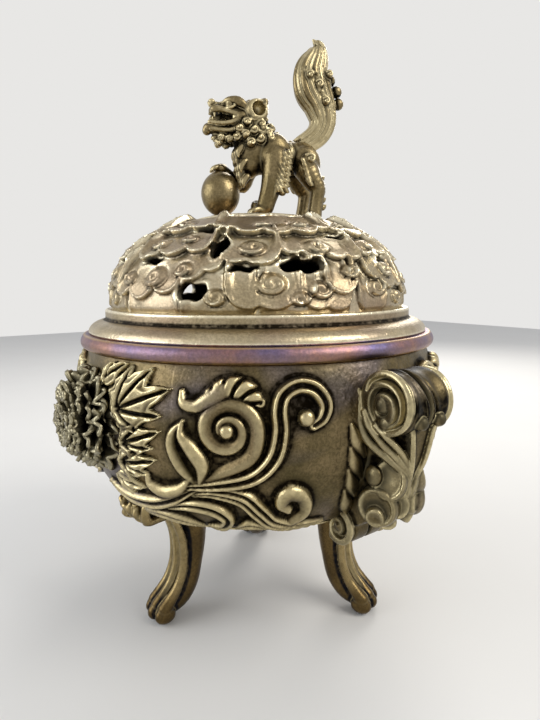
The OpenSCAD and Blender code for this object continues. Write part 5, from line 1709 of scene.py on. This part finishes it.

# %% [markdown]
# ## Brass
# All the brass comes from one recipe. The alloy is a metal with a rough, slightly
# pitted skin. Old polish and soot stay in the recesses, and handling keeps the
# ridges bright, so the two values that were measured on each casting pick the
# colour: the recesses are darkened with patina and painted shade, deepened by an
# ambient occlusion node, and the ridges are brightened with wear and a painted
# highlight. Slow clouds of a second and a third tone stand for the uneven patina.

# %% Mix the brass recipe
def linear(r, g, b):
    """A screen colour from 0 to 255 as the linear colour a shader wants."""
    out = []
    for c in (r, g, b):
        c = c / 255
        out.append(c / 12.92 if c <= 0.04045 else ((c + 0.055) / 1.055) ** 2.4)
    return (*out, 1.0)


class Recipe:
    """A small bench for wiring a material's nodes."""

    def __init__(self, name):
        self.material = bpy.data.materials.new(name)
        self.material.use_nodes = True
        self.tree = self.material.node_tree
        self.shader = self.tree.nodes["Principled BSDF"]
        self.place = self.tree.nodes.new("ShaderNodeTexCoord").outputs["Object"]

    def wire(self, source, target):
        if isinstance(source, (int, float, tuple)):
            target.default_value = source
        else:
            self.tree.links.new(source, target)

    def node(self, kind, inputs, output, **settings):
        """Adds a node, sets what it is, wires or sets its inputs, and gives the named output."""
        made = self.tree.nodes.new("ShaderNode" + kind)
        for key, value in settings.items():
            setattr(made, key, value)
        for key, value in inputs.items():
            self.wire(value, made.inputs[key])
        return made.outputs[output]

    def attribute(self, name):
        return self.node("Attribute", {}, "Fac", attribute_name=name)

    def noise(self, scale, detail=3.0, rough_share=0.55, warp=0.0):
        inputs = {"Scale": scale, "Detail": detail, "Roughness": rough_share, "Distortion": warp}
        return self.node("TexNoise", {**inputs, "Vector": self.place}, "Fac")

    def pits(self, scale):
        return self.node("TexVoronoi", {"Scale": scale, "Vector": self.place}, "Distance")

    def span(self, value, low, high, to_low=0.0, to_high=1.0):
        """Maps a range of values to another, and clamps it."""
        inputs = {"From Min": low, "From Max": high, "To Min": to_low, "To Max": to_high, "Value": value}
        return self.node("MapRange", inputs, "Result")

    def sum(self, kind, a, b):
        return self.node("Math", {0: a, 1: b}, 0, operation=kind, use_clamp=kind in ("MULTIPLY", "ADD"))

    def mix(self, share, a, b):
        return self.node("Mix", {"Factor": share, "A": a, "B": b}, "Result", data_type="RGBA")

    def occlusion_shade(self, distance):
        """How far a place is shut in by its own piece, from 0 in the open to 1 in a deep gap. It is ambient
        occlusion, and the brass uses it to paint shade into gaps.
        """
        shut = self.node("AmbientOcclusion", {"Distance": distance}, "AO", samples=6, only_local=True)
        return self.span(shut, 0.86, 0.42)

    def bump(self, height, strength, distance, below=None):
        inputs = {"Strength": strength, "Distance": distance, "Height": height}
        if below is not None:
            inputs["Normal"] = below
        return self.node("Bump", inputs, "Normal")


def brass(name, body, patch, hollow_patina_and_shade, rub_and_highlight, gloss, pitted, tint=None, tint_share=0.5):
    """One finish of brass: body tone, patches of a second, dark patina and painted shade in hollows, rubbed
    wear and a painted highlight on ridges.
    """
    mix = Recipe(name)
    ridge = mix.attribute("ridge")
    # Recesses take patina and painted shade: the measured recess value plus ambient occlusion.
    recess = mix.sum("ADD", mix.attribute("recess"), mix.sum("MULTIPLY", mix.occlusion_shade(CREVICE), 0.45))
    slow = mix.noise(55, 4, 0.6, 0.4)
    fine = mix.noise(620, 3, 0.6)
    tone = mix.mix(mix.span(slow, 0.40, 0.62), linear(*body), linear(*patch))
    if tint is not None:
        cloud = mix.noise(24, 2, 0.5, 0.8)
        tone = mix.mix(mix.span(cloud, 0.45, 0.62, 0.0, tint_share), tone, linear(*tint))
    grains = mix.span(mix.noise(1300, 3, 0.65), 0.40, 0.60, 0.0, 0.42)
    tone = mix.mix(grains, tone, linear(*(0.62 * c for c in patch)))
    speck = mix.span(fine, 0.35, 0.62, 0.70, 1.15)
    # The hollows are painted dark: patina, and painted shade where light would not reach.
    dark = mix.sum("MULTIPLY", mix.span(recess, 0.05, 0.46), speck)
    tone = mix.mix(dark, tone, linear(*hollow_patina_and_shade))
    # The ridges are painted pale: rubbed wear, and a painted highlight.
    rub_and_highlight_share = mix.span(ridge, 0.12, 0.75, 0.0, 0.9)
    bright = mix.sum("MULTIPLY", rub_and_highlight_share, mix.span(fine, 0.30, 0.60, 0.6, 1.0))
    tone = mix.mix(bright, tone, linear(*rub_and_highlight))
    mix.wire(tone, mix.shader.inputs["Base Color"])
    mix.shader.inputs["Metallic"].default_value = 1.0
    worn = mix.span(ridge, 0.1, 0.8, 0.0, 0.10)
    rough_value = mix.sum("ADD", mix.span(slow, 0.3, 0.7, gloss - 0.06, gloss + 0.08),
                          mix.span(recess, 0.1, 0.8, 0.0, 0.26))
    mix.wire(mix.sum("SUBTRACT", rough_value, worn), mix.shader.inputs["Roughness"])
    grain = mix.bump(mix.noise(1500, 3, 0.6), 0.55, 0.00012)
    dents = mix.bump(mix.noise(260, 2, 0.5), 0.35, 0.0004, grain)
    pit = mix.span(mix.pits(520), 0.10, 0.28, 0.0, 1.0)
    mix.wire(mix.bump(pit, pitted, 0.00025, dents), mix.shader.inputs["Normal"])
    return mix.material


# How far, in metres, a wall may stand from another and still shade it
CREVICE = 0.0035

# Each finish gives a body tone, a patch tone, the dark tone painted in hollows as patina and shade, and the
# pale tone painted on ridges as wear and highlight.
FINISHES = {
    "bowl_brass": brass("bowl_patina", (126, 110, 80), (90, 80, 54), (22, 17, 10), (206, 190, 146),
                        gloss=0.38, pitted=0.2, tint=(112, 106, 118)),
    "trim_brass": brass("trim_patina", (112, 99, 70), (86, 75, 51), (15, 12, 8), (208, 194, 152),
                        gloss=0.33, pitted=0.2, tint=(100, 96, 98)),
    "flower_brass": brass("flower_patina", (74, 70, 57), (52, 49, 40), (10, 8, 6), (170, 162, 134),
                          gloss=0.42, pitted=0.5),
    "bright_brass": brass("polished_brass", (120, 99, 61), (92, 76, 48), (24, 25, 30), (204, 184, 134),
                          gloss=0.28, pitted=0.1),
    "tinted_brass": brass("heat_tinted_brass", (150, 110, 104), (104, 92, 124), (30, 22, 20),
                          (190, 156, 104), gloss=0.40, pitted=0.1, tint=(92, 92, 138), tint_share=0.9),
    "lid_brass": brass("lid_patina", (188, 172, 140), (164, 148, 116), (30, 24, 16), (246, 236, 206),
                       gloss=0.34, pitted=0.2, tint=(150, 126, 112)),
    "lion_brass": brass("lion_patina", (146, 130, 96), (114, 100, 68), (20, 16, 9), (228, 212, 168),
                        gloss=0.33, pitted=0.2),
}
print("brass finishes:", len(FINISHES))

# %% [markdown]
# ## Screws
# The screws, washers and the bolt sit inside the bowl and the lid. They are plain
# turned steel, so they keep their CAD shape and only get a finish: a grey metal
# with fine marks from the lathe.

# %% Finish the screws
def steel(name):
    mix = Recipe(name)
    marks = mix.noise(900, 2, 0.6)
    mix.wire(mix.mix(marks, linear(150, 148, 144), linear(190, 188, 182)), mix.shader.inputs["Base Color"])
    mix.shader.inputs["Metallic"].default_value = 1.0
    mix.wire(mix.span(marks, 0.3, 0.7, 0.30, 0.42), mix.shader.inputs["Roughness"])
    return mix.material


FINISHES["screw_steel"] = steel("turned_steel")


def finish(obj, slot_name):
    obj.data.materials.clear()
    obj.data.materials.append(FINISHES[slot_name])


FASTENERS = ["leg_screws", "leg_washers", "handle_screws", "handle_washers", "peony_screws",
             "peony_washers", "finial_bolt", "finial_washer", "finial_nut"]
for fastener in FASTENERS:
    for material_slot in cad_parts[fastener].material_slots:
        material_slot.material = FINISHES["screw_steel"]
print("fasteners finished:", len(FASTENERS))

# %% [markdown]
# ## Put the pieces on their bodies
# Each casting stands for one CAD solid, takes that solid's finish, and rides on the
# body that carries it. What belongs to the lid goes up with the lid.

# %% Join pieces and bodies
PIECES = [
    (turned_bowl, "bowl", "bowl_brass", "burner"), (turned_ring, "mouth_ring", "tinted_brass", "burner"),
    (legs["leg_front"], "leg_front", "bright_brass", "burner"),
    (legs["leg_right"], "leg_right", "bright_brass", "burner"),
    (legs["leg_left"], "leg_left", "bright_brass", "burner"),
    (handle_right, "handle_right", "trim_brass", "burner"),
    (handle_left, "handle_left", "trim_brass", "burner"),
    (peony_front, "peony_front", "flower_brass", "burner"),
    (peony_back, "peony_back", "flower_brass", "burner"),
    (leaves_front, "peony_leaves_front", "trim_brass", "burner"),
    (leaves_back, "peony_leaves_back", "trim_brass", "burner"),
    (turned_flange, "lid_flange", "lid_brass", "lid"), (dome, "lid_dome", "lid_brass", "lid"),
    (crown, "crown_plate", "lid_brass", "lid"), (lion, "lion_body", "lion_brass", "lid"),
    (tail, "lion_tail", "lion_brass", "lid"), (brocade_ball, "lion_ball", "lion_brass", "lid"),
]
# Gains that strengthen the recess darkening, patina with painted shade, on the deep-cut castings
CHASED, COMBED, CRISP = 2.4, 3.6, 1.4
PIECES += [(quarter, node, "bowl_brass", "burner") for node, quarter in quarters.items()]
for piece in (handle_right, handle_left, *legs.values()):
    deepen_patina_and_shade(piece, CHASED)
deepen_patina_and_shade(tail, COMBED)
for piece in (lion, peony_front, peony_back):
    deepen_patina_and_shade(piece, CRISP)
for piece, node, slot_name, body in PIECES:
    finish(piece, slot_name)
    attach(piece, body)
    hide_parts(node)
print("pieces placed:", len(PIECES))

# %% [markdown]
# ## Floor, backdrop and light
# The burner stands on a plain pale floor. The world is pale to the camera and in
# the metal's reflections, and it lights the object only softly. A large window
# light comes from the right, a weaker one fills from the left, and a narrow light
# behind draws the edge of the lid and the lion.

# %% Build the studio
FLOOR_SIDE = 2.4


def make_floor():
    bpy.ops.mesh.primitive_plane_add(size=FLOOR_SIDE, location=(0, 0, -0.0002))
    plane = bpy.context.object
    plane.name = "studio_floor"
    mix = Recipe("floor_paint")
    grain = mix.noise(14, 2, 0.5)
    mix.wire(mix.mix(grain, linear(226, 223, 218), linear(230, 228, 223)), mix.shader.inputs["Base Color"])
    mix.shader.inputs["Roughness"].default_value = 0.75
    plane.data.materials.append(mix.material)
    return plane


def make_world():
    world = bpy.data.worlds.new("studio_world")
    world.use_nodes = True
    tree = world.node_tree
    tree.nodes.clear()
    path = tree.nodes.new("ShaderNodeLightPath")
    seen = path.outputs["Is Camera Ray"]
    for ray in ("Is Glossy Ray", "Is Transmission Ray"):
        either = tree.nodes.new("ShaderNodeMath")
        either.operation = "ADD"
        either.use_clamp = True
        tree.links.new(seen, either.inputs[0])
        tree.links.new(path.outputs[ray], either.inputs[1])
        seen = either.outputs[0]
    mixer = tree.nodes.new("ShaderNodeMixShader")
    tree.links.new(seen, mixer.inputs[0])
    # First the soft sky that lights the object, then the pale one that is seen
    for socket, colour, strength in ((1, (228, 232, 240), 0.6), (2, (232, 231, 229), 1.0)):
        sky = tree.nodes.new("ShaderNodeBackground")
        sky.inputs["Color"].default_value = linear(*colour)
        sky.inputs["Strength"].default_value = strength
        tree.links.new(sky.outputs[0], mixer.inputs[socket])
    out = tree.nodes.new("ShaderNodeOutputWorld")
    tree.links.new(mixer.outputs[0], out.inputs[0])
    bpy.context.scene.world = world


def make_lamp(name, azimuth, distance, height, size, watts, colour, aim=(0, 0, 0.1)):
    data = bpy.data.lights.new(name, "AREA")
    data.shape = "RECTANGLE"
    data.size, data.size_y = size
    data.energy = watts
    data.color = colour
    lamp = bpy.data.objects.new(name, data)
    bpy.context.scene.collection.objects.link(lamp)
    lamp.location = Vector(polar(azimuth, distance, height)) * MM
    lamp.rotation_euler = (Vector(aim) - lamp.location).to_track_quat("-Z", "Y").to_euler()
    return lamp


make_floor()
make_world()
window = make_lamp("window", 118, 900, 800, (0.6, 0.6), 7.0, (1.0, 0.98, 0.94))
fill = make_lamp("fill", -20, 700, 340, (0.6, 0.5), 2.8, (0.93, 0.96, 1.0))
edge = make_lamp("edge", 215, 620, 520, (0.3, 0.5), 2.6, (1.0, 0.98, 0.95))
bpy.context.scene.view_settings.view_transform = "Standard"
print("lamps:", window.name, fill.name, edge.name)
